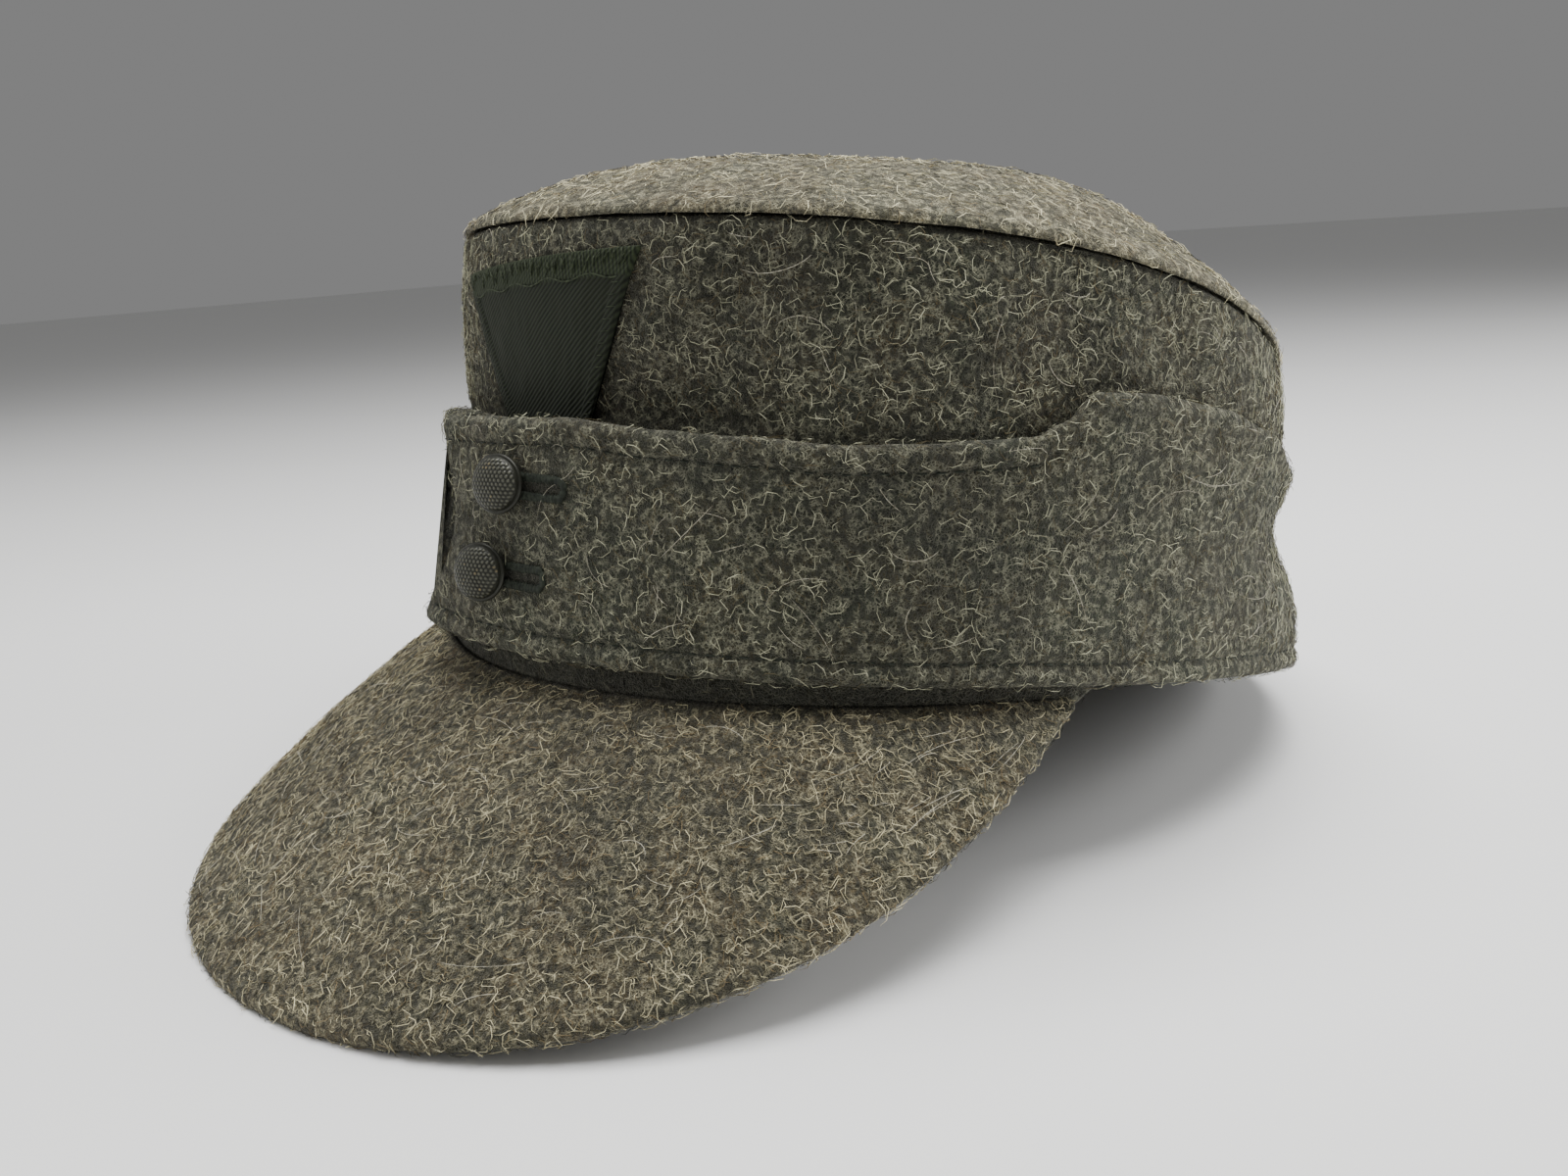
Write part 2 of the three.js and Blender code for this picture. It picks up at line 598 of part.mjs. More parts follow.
const rest = restingTilt(pieces.map((piece) => piece.geometry));
const floor = new THREE.BoxGeometry(4 * headHalfLength, 6 * headHalfLength, headHalfLength);
const settle = new THREE.Matrix4().makeRotationX(-rest.tilt);
const cap = new THREE.Group();
cap.name = 'field_cap';
const underFloor = toSolid(bareGeometry(floor.translate(0, 0, -headHalfLength / 2)));
const bounds = new THREE.Box3();
for (const piece of pieces) {
  piece.geometry.applyMatrix4(settle);
  piece.geometry.translate(0, 0, -rest.low - restTrim);
  piece.geometry.computeBoundingBox();
  if (piece.geometry.boundingBox.min.z < 0) {
    piece.geometry = fromSolid(toSolid(piece.geometry).subtract(underFloor));
    piece.geometry.computeBoundingBox();
  }
  bounds.union(piece.geometry.boundingBox);
}
const middle = bounds.getCenter(new THREE.Vector3());
for (const { name, geometry, colour, rough, metal } of pieces) {
  const material = new THREE.MeshStandardMaterial({ color: colour, roughness: rough, metalness: metal });
  const mesh = new THREE.Mesh(geometry, material);
  mesh.name = name;
  mesh.position.set(-middle.x, -middle.y, 0);
  cap.add(mesh);
}

export default cap;
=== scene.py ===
import json
import random
from functools import partial
from math import asin, atan2, cos, degrees, exp, floor, fmod, hypot, pi, radians, sin, sqrt, tan

import bmesh
import bpy
from mathutils import Matrix, Vector, noise

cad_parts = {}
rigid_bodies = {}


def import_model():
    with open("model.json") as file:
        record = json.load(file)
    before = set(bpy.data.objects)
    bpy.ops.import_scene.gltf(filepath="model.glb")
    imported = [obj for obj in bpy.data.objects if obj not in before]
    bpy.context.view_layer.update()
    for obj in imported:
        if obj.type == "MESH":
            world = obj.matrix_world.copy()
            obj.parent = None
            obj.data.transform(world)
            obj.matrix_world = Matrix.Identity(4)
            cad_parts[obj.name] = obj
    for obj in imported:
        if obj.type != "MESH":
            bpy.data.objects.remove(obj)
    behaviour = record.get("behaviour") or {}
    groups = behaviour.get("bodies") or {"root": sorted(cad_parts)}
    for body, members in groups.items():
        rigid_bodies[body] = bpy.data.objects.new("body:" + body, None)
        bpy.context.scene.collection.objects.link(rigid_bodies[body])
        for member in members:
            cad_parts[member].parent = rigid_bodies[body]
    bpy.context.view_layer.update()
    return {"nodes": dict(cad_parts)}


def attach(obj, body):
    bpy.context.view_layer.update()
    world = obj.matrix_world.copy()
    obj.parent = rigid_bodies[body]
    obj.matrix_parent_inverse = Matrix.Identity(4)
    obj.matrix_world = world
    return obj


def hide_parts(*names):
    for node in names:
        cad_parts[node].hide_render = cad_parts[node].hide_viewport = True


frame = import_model()
print("frame loaded:", sorted(frame["nodes"]))

# The cap's own sizes in millimetres, the same as the solids have, in a frame where the cap sits level.
cap = {
    "gap": 0.3,
    "headHalfWidth": 89.5,
    "headHalfLength": 98.7,
    "wall": 2.2,
    "turnUpWall": 2.4,
    "foldClearance": 1.4,
    "rearHug": 0.85,
    "hugStart": 75,
    "hugSpread": 50,
    "seamHeights": (80.4, 74.2, 47.4),  # front, side, rear
    "seamHalfWidth": 90.2,
    "seamHalfLength": 93.1,
    "seamForward": 7.0,
    "domeHeight": 22.0,
    "domeFullness": 3.2,
    "sideBulge": 1.6,
    "frontHollow": 5.5,
    "hollowSpread": 35,
    "dentDepth": 3.4,
    "hemHeights": (1.2, 3.15, -7.5),
    "bandShow": 10.2,
    "turnUpHeight": 41.3,
    "lapRise": 1.5,
    "lapWall": 1.6,
    "lapSettle": 3.5,
    "endCurl": 0.8,
    "curlTall": 0.3,
    "endDrop": 1.3,
    "prowLift": 1.7,
    "prowReach": 26,
    "endReach": 18,
    "underReach": 13,
    "peakLength": 74.4,
    "peakThick": 3.5,
    "peakSlope": 42.5,
    "peakSlopeGain": 4.3,
    "peakEndAngle": 71.4,
    "peakSewn": 0.965,
    "peakFullness": 1.33,
    "peakSplay": 1.256,
    "peakBow": 2.2,
    "peakSeamFront": 4.1,
    "peakSeamRise": 6.2,
    "peakTaper": 0.45,
}
# How the level cap is turned and moved to stand on its peak's edge and its rear rim.
rest = {"tilt": 10.469314, "low": 27.213939, "trim": 0.8, "aside": 0.029377, "along": 30.72039}

turnUpTop = [
    (0, 1.05), (12, 1.065), (24, 1.03), (33, 1.015), (42, 0.995), (50, 1.01), (57, 1.035), (61, 1.055),
    (64, 1.12), (67.5, 1.255), (73, 1.262), (84, 1.238), (94, 1.178), (106, 1.04), (125, 0.95), (180, 0.92),
]
bandShare = [(0, 1), (40, 0.97), (62, 0.85), (69, 0.45), (73, 0.05), (90, 0.03), (112, 0.1), (180, 0.15)]
sideDents = [  # angle, up, wide, tall, deep
    (30, 0.87, 5, 0.1, 0.6), (43, 0.86, 4.5, 0.12, 0.5), (68, 0.88, 6, 0.12, 0.5),
    (81, 0.86, 5, 0.12, 0.45), (27, 0.62, 13, 0.16, 0.9), (66, 0.66, 16, 0.16, 0.55),
    (120, 0.42, 30, 0.2, 0.9), (116, 0.56, 16, 0.13, 1.1), (165, 0.6, 20, 0.2, 0.5),
    (-27, 0.37, 14, 0.19, 0.8), (-30, 0.62, 14, 0.16, 0.15), (-48, 0.87, 5, 0.12, 0.5),
    (-70, 0.7, 15, 0.18, 0.6), (-88, 0.86, 6, 0.12, 0.5), (-125, 0.42, 26, 0.17, 0.9),
    (-140, 0.8, 12, 0.14, 0.5),
]
topSwells = [  # across, along, reach, rise
    (0.1, -0.45, 0.35, 0.04), (0.75, -0.06, 0.38, 0.4), (-0.7, -0.05, 0.38, 0.2), (0.1, 0.1, 0.3, -0.08),
    (-0.2, 0.55, 0.35, 0.06),
]
turnUpSwells = [  # angle, up, wide, tall, out
    (70, 0.95, 9, 0.2, 1.0), (-27, 0.55, 13, 0.4, -1.7), (-112, 0.9, 20, 0.16, 0.4),
    (-70, 0.95, 10, 0.2, 0.8), (180, 0.5, 30, 0.3, -0.4),
]
endShape = [(1, 0.25, 0.25), (0.55, 0.25, -0.3), (0, 0.22, 0.65)]  # up, tall, reach

rimHalfWidth = cap["headHalfWidth"] + cap["wall"]
rimHalfLength = cap["headHalfLength"] + cap["wall"]
turnUpHalfWidth = rimHalfWidth + cap["foldClearance"] + cap["turnUpWall"]
turnUpHalfLength = rimHalfLength + cap["foldClearance"] + cap["turnUpWall"]


def mix(a, b, share):
    return a + (b - a) * share


def smooth(x):
    x = min(1.0, max(0.0, x))
    return x * x * (3 - 2 * x)


def bump(x, reach):
    return exp(-((x / reach) ** 2))


def threeWay(angle, front, side, rear):  # a value that runs front, side, rear, side round the cap
    level = (front + rear) / 4 + side / 2
    saddle = (front + rear) / 4 - side / 2
    return level + (front - rear) / 2 * cos(angle) + saddle * cos(2 * angle)


def turnBetween(angle, place):  # degrees from a place round the cap
    turn = fmod(degrees(angle) - place, 360)
    return turn - 360 if turn > 180 else turn + 360 if turn < -180 else turn


def readTable(table, angle):
    away = abs(turnBetween(angle, 0))
    for (low, first), (high, second) in zip(table, table[1:]):
        if away <= high:
            return mix(first, second, smooth((away - low) / (high - low)))
    return table[-1][1]


def ringPoint(angle, halfWidth, halfLength, forward, height, outward):
    across, along = sin(angle) * halfLength, -cos(angle) * halfWidth
    size = hypot(across, along) or 1.0
    x = halfWidth * sin(angle) + outward * across / size
    return Vector((x, -halfLength * cos(angle) - forward + outward * along / size, height))


def hemHeight(angle):
    return threeWay(angle, *cap["hemHeights"])


def seamHeight(angle):
    return threeWay(angle, *cap["seamHeights"])


def rimHeight(angle):
    return hemHeight(angle) - cap["bandShow"] * readTable(bandShare, angle)


def sidePoint(angle, up, inward):  # the side wall, up from its rim to the crown's seam
    outward = cap["sideBulge"] * sin(pi * up)
    hollow = cap["frontHollow"] * sin(pi * min(1, up)) ** 2
    outward -= hollow * bump(turnBetween(angle, 0), cap["hollowSpread"])
    for place, height, wide, tall, deep in sideDents:
        outward -= cap["dentDepth"] * deep * bump(turnBetween(angle, place), wide) * bump(up - height, tall)
    width = mix(rimHalfWidth, cap["seamHalfWidth"], up)
    length = mix(rimHalfLength, cap["seamHalfLength"], up)
    height = mix(rimHeight(angle), seamHeight(angle), up)
    return ringPoint(angle, width, length, cap["seamForward"] * up, height, outward - inward)


def sideShare(angle, height):
    rim = rimHeight(angle)
    return (height - rim) / (seamHeight(angle) - rim)


def topPoint(angle, share, below):  # the top panel, share 1 at its seam and 0 in its middle
    front, side, rear = cap["seamHeights"]
    height = (front + rear) / 4 + side / 2 + (front - rear) / 2 * share * cos(angle)
    height += ((front + rear) / 4 - side / 2) * share * share * cos(2 * angle)
    height += cap["wall"] + cap["gap"] + cap["domeHeight"] * (1 - share ** cap["domeFullness"])
    for across, along, reach, rise in topSwells:
        away = hypot(share * sin(angle) - across, -share * cos(angle) - along)
        height += cap["domeHeight"] * rise * bump(away, reach) * (1 - share**2)
    x = cap["seamHalfWidth"] * share * sin(angle)
    y = -cap["seamHalfLength"] * share * cos(angle) - cap["seamForward"]
    return Vector((x, y, height - below))


def turnUpPoint(angle, up, inward, lift):  # up from its hem to its top edge
    height = hemHeight(angle) + up * cap["turnUpHeight"] * readTable(turnUpTop, angle)
    toRear = smooth((abs(turnBetween(angle, 0)) - cap["hugStart"]) / cap["hugSpread"])
    outward = lift - inward
    for place, at, wide, tall, out in turnUpSwells:
        outward += cap["foldClearance"] * out * bump(turnBetween(angle, place), wide) * bump(up - at, tall)
    upright = ringPoint(angle, turnUpHalfWidth, turnUpHalfLength, 0, height, outward)
    if toRear == 0:
        return upright
    leaning = sidePoint(angle, sideShare(angle, height), -cap["foldClearance"] - cap["turnUpWall"] - outward)
    return upright.lerp(leaning, cap["rearHug"] * toRear)


def peakFrame(angle):
    share = angle / radians(cap["peakEndAngle"])
    slope = radians(cap["peakSlope"] + cap["peakSlopeGain"] * share**2)
    heading = atan2(sin(angle) / rimHalfWidth, cos(angle) / rimHalfLength) * cap["peakSplay"]
    ahead = Vector((sin(heading), -cos(heading), 0))
    above = Vector((0, 0, 1))
    run = ahead * cos(slope) - above * sin(slope)
    face = ahead * sin(slope) + above * cos(slope)
    room = max(0, 1 - share**2)
    length = cap["peakLength"] * room ** cap["peakFullness"]
    thick = cap["peakThick"] * (1 - cap["peakTaper"] * (1 - min(1, 3 * room)))
    seam = -cap["peakSeamFront"] + cap["peakSeamRise"] * sin(angle) ** 2
    wall = sidePoint(angle, sideShare(angle, seam), -cap["gap"])
    foot = sidePoint(angle, sideShare(angle, seam - thick / cos(slope)), -cap["gap"])
    return run, face, length, thick, wall, foot, slope


def peakPoint(angle, out, lower):
    run, face, length, thick, wall, foot, slope = peakFrame(angle)
    if lower and out == 0:
        return foot
    reach = length - thick / 2
    start = thick * tan(slope) if lower else 0
    along = mix(min(start, reach * 0.8), reach, out)
    bow = cap["peakBow"] * sin(pi * min(1, along / length)) * min(1, length / cap["peakLength"])
    return wall + run * along + face * (bow - (thick if lower else 0))


def alongArc(length):
    return length / turnUpHalfLength


underEnd = alongArc(cap["underReach"])
upperEnd = -alongArc(cap["endReach"])


def prow(left):  # how far the strip stands off near its upper end
    return cap["prowLift"] * smooth(1 - left / alongArc(cap["endReach"] + cap["prowReach"]))


def lapPoint(angle, up, outward):
    return turnUpPoint(angle, up, 0, cap["lapRise"] + prow(angle - upperEnd) + outward)


tilt = radians(rest["tilt"])


def turned(direction):  # a direction of the level cap, in the frame of the cap at rest
    y = direction.y * cos(tilt) + direction.z * sin(tilt)
    return Vector((direction.x, y, direction.z * cos(tilt) - direction.y * sin(tilt)))


def settled(point):  # a point of the level cap in millimetres, at rest on the floor in metres
    moved = turned(point) + Vector((rest["aside"], rest["along"], rest["low"] - rest["trim"]))
    return moved * 0.001


def toScene(name, data):
    made = bpy.data.objects.new(name, data)
    bpy.context.scene.collection.objects.link(made)
    return made


def toObject(bm, name, materials):
    mesh = bpy.data.meshes.new(name)
    bm.to_mesh(mesh)
    bm.free()
    for material in materials:
        mesh.materials.append(material)
    return toScene(name, mesh)


capMiddle = 20  # height of a point well inside the level cap
weldReach = 3e-6  # metres between the rows of a sheet that are one


def clothSheet(name, columns, rows, place, materials, uvSize, relief=(), closed=True):
    bm = bmesh.new()
    bmesh.ops.create_grid(bm, x_segments=columns, y_segments=rows, size=0.5)
    cloth = bm.loops.layers.uv.new("cloth")
    for face in bm.faces:
        face.smooth = True
        for loop in face.loops:
            at = loop.vert.co
            loop[cloth].uv = ((at.x + 0.5) * uvSize[0], (at.y + 0.5) * uvSize[1])
    mark = bm.verts.layers.float.new("seam")
    for vert in bm.verts:
        spot, seam = place(vert.co.x + 0.5, vert.co.y + 0.5)
        vert.co = settled(spot)
        vert[mark] = seam
    bmesh.ops.remove_doubles(bm, verts=bm.verts, dist=weldReach)
    if closed:
        openEdges = [edge for edge in bm.edges if edge.is_boundary]
        if openEdges:
            bmesh.ops.holes_fill(bm, edges=openEdges)
        bmesh.ops.recalc_face_normals(bm, faces=bm.faces)
    bm.normal_update()
    moves = []
    for vert in bm.verts:
        push = sum(height * noise.noise(vert.co * (1000 / size)) for size, height in relief)
        moves.append(vert.co + vert.normal * (push * 0.001))
    for vert, spot in zip(bm.verts, moves):
        vert.co = Vector((spot.x, spot.y, max(spot.z, 0)))
    return toObject(bm, name, materials)


def crossing(share, corners):  # which stretch of a cross-section a share falls in, and how far along it
    for index, (low, high) in enumerate(zip(corners, corners[1:])):
        if share <= high:
            return index, (share - low) / (high - low)
    return len(corners) - 2, 1.0


def rolled(depth, radius):  # how far a rounded edge has drawn in, at a depth from its end
    return radius - sqrt(max(0, radius**2 - max(0, radius - depth) ** 2))


def pucker(angle, seed, pitch):  # small puckers that a seam draws in the cloth
    return noise.noise(Vector((sin(angle) * pitch, cos(angle) * pitch, seed)))


wool = {
    "curl": 0.0011,
    "curlScale": 1300,
    "toneScale": 700,
    "fibres": ((900, 0.11), (1500, 0.13)),  # coarse and fine: cells to a metre, width as a share of a cell
    "flecks": 900,
    "seamShade": 0.8,
    "mottling": 85,
    "patches": 34,
    "depths": (0.7, 1.3),
    "fleckHeight": 0.6,
    "bump": 0.00035,
    "strength": 0.9,
}


class Nodes:
    def __init__(self, tree):
        self.tree = tree

    def feed(self, node, inputs):  # links or sets a node's inputs, by their names or places
        for key, value in inputs.items():
            socket = node.inputs[key]
            if isinstance(value, bpy.types.NodeSocket):
                self.tree.links.new(value, socket)
            else:
                socket.default_value = (*value, 1) if socket.type == "RGBA" else value

    def add(self, kind, inputs=None, **settings):
        node = self.tree.nodes.new(kind)
        for key, value in settings.items():
            setattr(node, key, value)
        self.feed(node, inputs or {})
        return node

    def math(self, operation, *values, clamp=False):
        inputs = dict(enumerate(values))
        return self.add("ShaderNodeMath", inputs, operation=operation, use_clamp=clamp).outputs[0]

    def vector(self, operation, inputs):
        return self.add("ShaderNodeVectorMath", inputs, operation=operation)

    def mixColour(self, share, first, second):
        return self.add("ShaderNodeMix", {0: share, 6: first, 7: second}, data_type="RGBA").outputs[2]

    def noise(self, vector, scale, detail=2.0, roughness=0.5):
        inputs = {"Vector": vector, "Scale": scale, "Detail": detail, "Roughness": roughness}
        return self.add("ShaderNodeTexNoise", inputs)

    def ramp(self, value, low, high, start=0.0, end=1.0):
        inputs = {"Value": value, 1: low, 2: high, 3: start, 4: end}
        return self.add("ShaderNodeMapRange", inputs, clamp=True).outputs[0]

    def cloud(self, noise, *limits):  # a noise of this scale, detail and roughness, ramped
        return self.ramp(self.noise(self.place(), *noise).outputs["Fac"], *limits)

    def place(self):
        return self.add("ShaderNodeTexCoord").outputs["Object"]

    def attribute(self, name):
        return self.add("ShaderNodeAttribute", attribute_name=name).outputs["Fac"]

    def group(self, tree):
        return self.add("ShaderNodeGroup", node_tree=tree)

    def bump(self, height, strength, distance):
        inputs = {"Strength": strength, "Distance": distance, "Height": height}
        return self.add("ShaderNodeBump", inputs).outputs["Normal"]

    def chance(self, kind, *limits):  # a random value for each fibre
        place = ("FLOAT_VECTOR", "FLOAT", "INT").index(kind)
        inputs = {2 * place + index: limit for index, limit in enumerate(limits)}
        return self.add("FunctionNodeRandomValue", inputs, data_type=kind).outputs[place]


def groupOf(kind, name, inputs, outputs):
    tree = bpy.data.node_groups.new(name, kind + "NodeTree")
    for way, sockets in (("INPUT", inputs), ("OUTPUT", outputs)):
        for label, sort in sockets.items():
            tree.interface.new_socket(name=label, in_out=way, socket_type="NodeSocket" + sort)
    nodes = Nodes(tree)
    return tree, nodes, nodes.add("NodeGroupInput").outputs, nodes.add("NodeGroupOutput")


def fibreGroup():  # curly fibres that show as fine lines, with their light
    sockets = {"Vector": "Vector", "Scale": "Float", "Width": "Float"}
    tree, n, start, end = groupOf("Shader", "curly fibres", sockets, {"Lines": "Float", "Tone": "Float"})
    warp = n.noise(start["Vector"], wool["curlScale"], 1.0).outputs["Color"]
    centred = n.vector("SUBTRACT", {0: warp, 1: (0.5,) * 3}).outputs[0]
    pushed = n.vector("MULTIPLY_ADD", {0: centred, 1: (wool["curl"],) * 3, 2: start["Vector"]}).outputs[0]
    inputs = {"Vector": pushed, "Scale": start["Scale"]}
    cells = n.add("ShaderNodeTexVoronoi", inputs, feature="DISTANCE_TO_EDGE")
    share = n.math("DIVIDE", cells.outputs["Distance"], start["Width"])
    tone = n.noise(pushed, wool["toneScale"], 0.0).outputs["Fac"]
    n.feed(end, {"Lines": n.math("SUBTRACT", 1.0, share, clamp=True), "Tone": tone})
    return tree


def melangeGroup():  # soft patches of browner and of deeper cloth
    tree, n, start, end = groupOf("Shader", "melange", {}, {"Mottle": "Float", "Depth": "Float"})
    mottle = n.cloud((wool["mottling"], 3.0, 0.6), 0.38, 0.62)
    n.feed(end, {"Mottle": mottle, "Depth": n.cloud((wool["patches"], 2.0, 0.55), 0.3, 0.7, *wool["depths"])})
    return tree


def scaled(n, colour, factor):
    return n.vector("SCALE", {0: colour, "Scale": factor}).outputs[0]


woolColours = ("Dark", "Middle", "Brown", "Light")


def clothGroup(fibres, melange):  # milled wool: melange colour, painted shade from the seam value, and felt height
    tree, n, start, end = groupOf(
        "Shader", "milled wool",
        {**{name: "Color" for name in woolColours}, "Pale": "Float"},
        {"Color": "Color", "Height": "Float", "Roughness": "Float"},
    )
    patchy = n.group(melange).outputs
    fleck = n.cloud((wool["flecks"], 3.0, 0.65), 0.36, 0.66)
    coarse, fine = n.group(fibres), n.group(fibres)
    for layer, (scale, width) in zip((coarse, fine), wool["fibres"]):
        n.feed(layer, {"Vector": n.place(), "Scale": scale, "Width": width})
    ground = n.mixColour(patchy["Mottle"], start["Middle"], start["Brown"])
    ground = n.mixColour(fleck, start["Dark"], ground)
    for layer, under in ((fine, "Middle"), (coarse, "Dark")):
        light = n.mixColour(n.ramp(layer.outputs["Tone"], 0.42, 0.6), start[under], start["Light"])
        ground = n.mixColour(n.math("MULTIPLY", layer.outputs["Lines"], start["Pale"]), ground, light)
    # painted shade: the seam value darkens the cloth in seams, grooves and buttonholes, on the band under the
    # turn-up and where the peak meets it
    ground = n.mixColour(n.math("MULTIPLY", n.attribute("seam"), wool["seamShade"]), ground, start["Dark"])
    lines = n.math("ADD", coarse.outputs["Lines"], fine.outputs["Lines"])
    n.feed(end, {
        "Color": scaled(n, ground, patchy["Depth"]),
        "Height": n.math("ADD", lines, n.math("MULTIPLY", fleck, wool["fleckHeight"])),
        "Roughness": n.ramp(fleck, 0, 1, 0.98, 0.86),
    })
    return tree


fibreNodes = fibreGroup()
melangeNodes = melangeGroup()
clothNodes = clothGroup(fibreNodes, melangeNodes)


def newMaterial(name, inputs):
    material = bpy.data.materials.new(name)
    material.use_nodes = True
    n = Nodes(material.node_tree)
    shader = n.tree.nodes["Principled BSDF"]
    n.feed(shader, inputs)
    return material, n, shader


def woolMaterial(name, tones):
    material, n, shader = newMaterial(name, {
        "Specular IOR Level": 0.2, "Sheen Weight": 0.25, "Sheen Roughness": 0.6,
        "Sheen Tint": (0.85, 0.82, 0.7),
    })
    group = n.group(clothNodes)
    n.feed(group, {label: tones[label] for label in (*woolColours, "Pale")})
    cloth = group.outputs
    n.feed(shader, {
        "Base Color": cloth["Color"], "Roughness": cloth["Roughness"],
        "Normal": n.bump(cloth["Height"], wool["strength"], wool["bump"]),
    })
    return material


def napMaterial(name, tones):  # loose fibres, each of them dark, middling, warm or pale
    material, n, shader = newMaterial(name, {"Roughness": 0.75, "Specular IOR Level": 0.3})
    pick = n.attribute("fibre")
    patchy = n.group(melangeNodes).outputs
    shade = n.mixColour(patchy["Mottle"], tones["Middle"], tones["Brown"])
    shade = n.mixColour(n.ramp(pick, 0.38, 0.42), tones["Dark"], shade)
    shade = n.mixColour(n.ramp(pick, 0.6, 0.62), shade, tones["Warm"])
    shade = n.mixColour(n.ramp(pick, tones["PaleFrom"], tones["PaleFrom"] + 0.02), shade, tones["Light"])
    n.feed(shader, {"Base Color": scaled(n, shade, patchy["Depth"])})
    return material


# Tones of one wool, copied for each part: the top's and the peak's are paler, painted light on faces turned up
# to the lamp above; the band's are darker, painted shade under the turn-up's overhang.
tones = {
    "body": {"Dark": (0.006, 0.0075, 0.0042), "Middle": (0.036, 0.042, 0.026), "Brown": (0.062, 0.051, 0.027),
             "Warm": (0.135, 0.107, 0.055), "Light": (0.48, 0.475, 0.33), "Pale": 0.5, "PaleFrom": 0.73},
    "top": {"Dark": (0.021, 0.02, 0.011), "Middle": (0.11, 0.109, 0.069), "Brown": (0.175, 0.14, 0.077),
            "Warm": (0.31, 0.245, 0.13), "Light": (0.74, 0.685, 0.45), "Pale": 0.5, "PaleFrom": 0.67},
    "turnUp": {"Dark": (0.005, 0.0075, 0.0042), "Middle": (0.034, 0.042, 0.025), "Brown": (0.056, 0.048, 0.025),
               "Warm": (0.126, 0.103, 0.053), "Light": (0.48, 0.475, 0.33), "Pale": 0.48, "PaleFrom": 0.74},
    "peak": {"Dark": (0.009, 0.009, 0.005), "Middle": (0.058, 0.058, 0.034), "Brown": (0.106, 0.081, 0.041),
             "Warm": (0.205, 0.151, 0.074), "Light": (0.58, 0.525, 0.33), "Pale": 0.5, "PaleFrom": 0.7},
    "band": {"Dark": (0.003, 0.004, 0.0025), "Middle": (0.01, 0.0115, 0.007), "Brown": (0.016, 0.0135, 0.0075),
             "Warm": (0.034, 0.028, 0.015), "Light": (0.15, 0.145, 0.1), "Pale": 0.4, "PaleFrom": 0.8},
}
woolMaterials = {key: woolMaterial("wool_" + key, value) for key, value in tones.items()}
napMaterials = {key: napMaterial("nap_" + key, value) for key, value in tones.items()}
print("wool materials made")

seamRoll = 1.3  # how far from the crown's seam the cloth starts to round over
seamDeep = 0.3  # and how deep it goes there, as a share of that
feltRelief = [(9.0, 0.16), (3.4, 0.1), (1.5, 0.05)]  # size and height of the cloth's own unevenness, mm

pinches = (  # where the cloth is drawn in round the side: angle, its reach, height, its reach, depth
    (-20, 17, 23, 14, 5.2),
    (112, 22, 28, 9, 3.0),
)


def pinched(point, angle):
    depth = 0
    for at, wide, height, tall, deep in pinches:
        depth += deep * bump(turnBetween(angle, at), wide) * bump(point.z - height, tall)
    return point - Vector((point.x, point.y, 0)).normalized() * depth


crownSide = {
    "columns": 400, "rows": 80, "corners": (0, 0.64, 0.74, 0.97, 1), "fine": 1.5,
    "pitch": 11, "pucker": 0.55, "puckerReach": 4, "seamReach": 0.3, "seamShade": 0.6,
    "bandTall": 14, "bandFade": 3, "lip": 4, "lipThick": 0.5, "lining": 60,
}


def sidePlace(u, w):
    angle = 2 * pi * (u - 0.5)
    wall, sizes = cap["wall"], crownSide
    tall = seamHeight(angle) - rimHeight(angle)
    lift = wall / 2 / tall
    stage, t = crossing(w, sizes["corners"])
    if stage == 0:
        up = mix(lift, 1, 1 - (1 - t) ** sizes["fine"])
        below = (1 - up) * tall
        pull = sizes["pucker"] * pucker(angle, 1, sizes["pitch"]) * exp(-below / sizes["puckerReach"])
        inward = seamDeep * rolled(below, seamRoll) + pull
        # painted shade: the band below the turn-up's hem, where the turn-up overhangs it, is darkened, and so
        # is the side just under the seam
        wearAndShade = 1 - smooth((up * tall - sizes["bandTall"]) / sizes["bandFade"])
        return pinched(sidePoint(angle, up, inward), angle), max(bump(below, sizes["seamReach"]), wearAndShade)
    if stage == 1:
        share = 1 - (seamDeep * seamRoll + sizes["lip"] * t) / cap["seamHalfWidth"]
        # painted shade on the lip tucked under the top panel
        return topPoint(angle, share, wall + cap["gap"] + wall * sizes["lipThick"] * t), sizes["seamShade"]
    if stage == 2:
        return pinched(sidePoint(angle, mix(1 - wall / sizes["lining"], lift, t), wall), angle), 0.0
    inward = wall / 2 * (1 + cos(pi * t))
    return sidePoint(angle, lift * (1 - sin(pi * t)), inward), 0.0


crownTop = {
    "columns": 330, "rows": 76, "corners": (0, 0.68, 0.76, 1), "fine": 1.5,
    "pitch": 9, "pucker": 0.6, "puckerReach": 5, "edgeBulge": 0.0035, "tuck": 0.03, "seamShade": 0.7,
}


def topPlace(u, w):
    angle = 2 * pi * (u - 0.5)
    sizes = crownTop
    stage, t = crossing(w, sizes["corners"])
    if stage == 0:
        share = 1 - (1 - t) ** sizes["fine"]
        away = (1 - share) * cap["seamHalfWidth"]
        pull = sizes["pucker"] * pucker(angle, 2, sizes["pitch"]) * exp(-away / sizes["puckerReach"])
        depth = seamDeep * rolled(away, seamRoll) + pull * (1 - exp(-away))
        return topPoint(angle, share, depth), 0.0
    if stage == 1:  # the panel's rounded edge, with painted shade only where it meets the side
        bulge = sizes["edgeBulge"] * sin(pi * min(1, 1.3 * t))
        share = 1 + bulge - sizes["tuck"] * smooth((t - 0.75) * 4)
        shade = sizes["seamShade"] * smooth((t - 0.6) / 0.3)
        return topPoint(angle, share, mix(seamDeep * seamRoll, cap["wall"], t)), shade
    return topPoint(angle, (1 - sizes["tuck"]) * (1 - t), cap["wall"]), 0.0


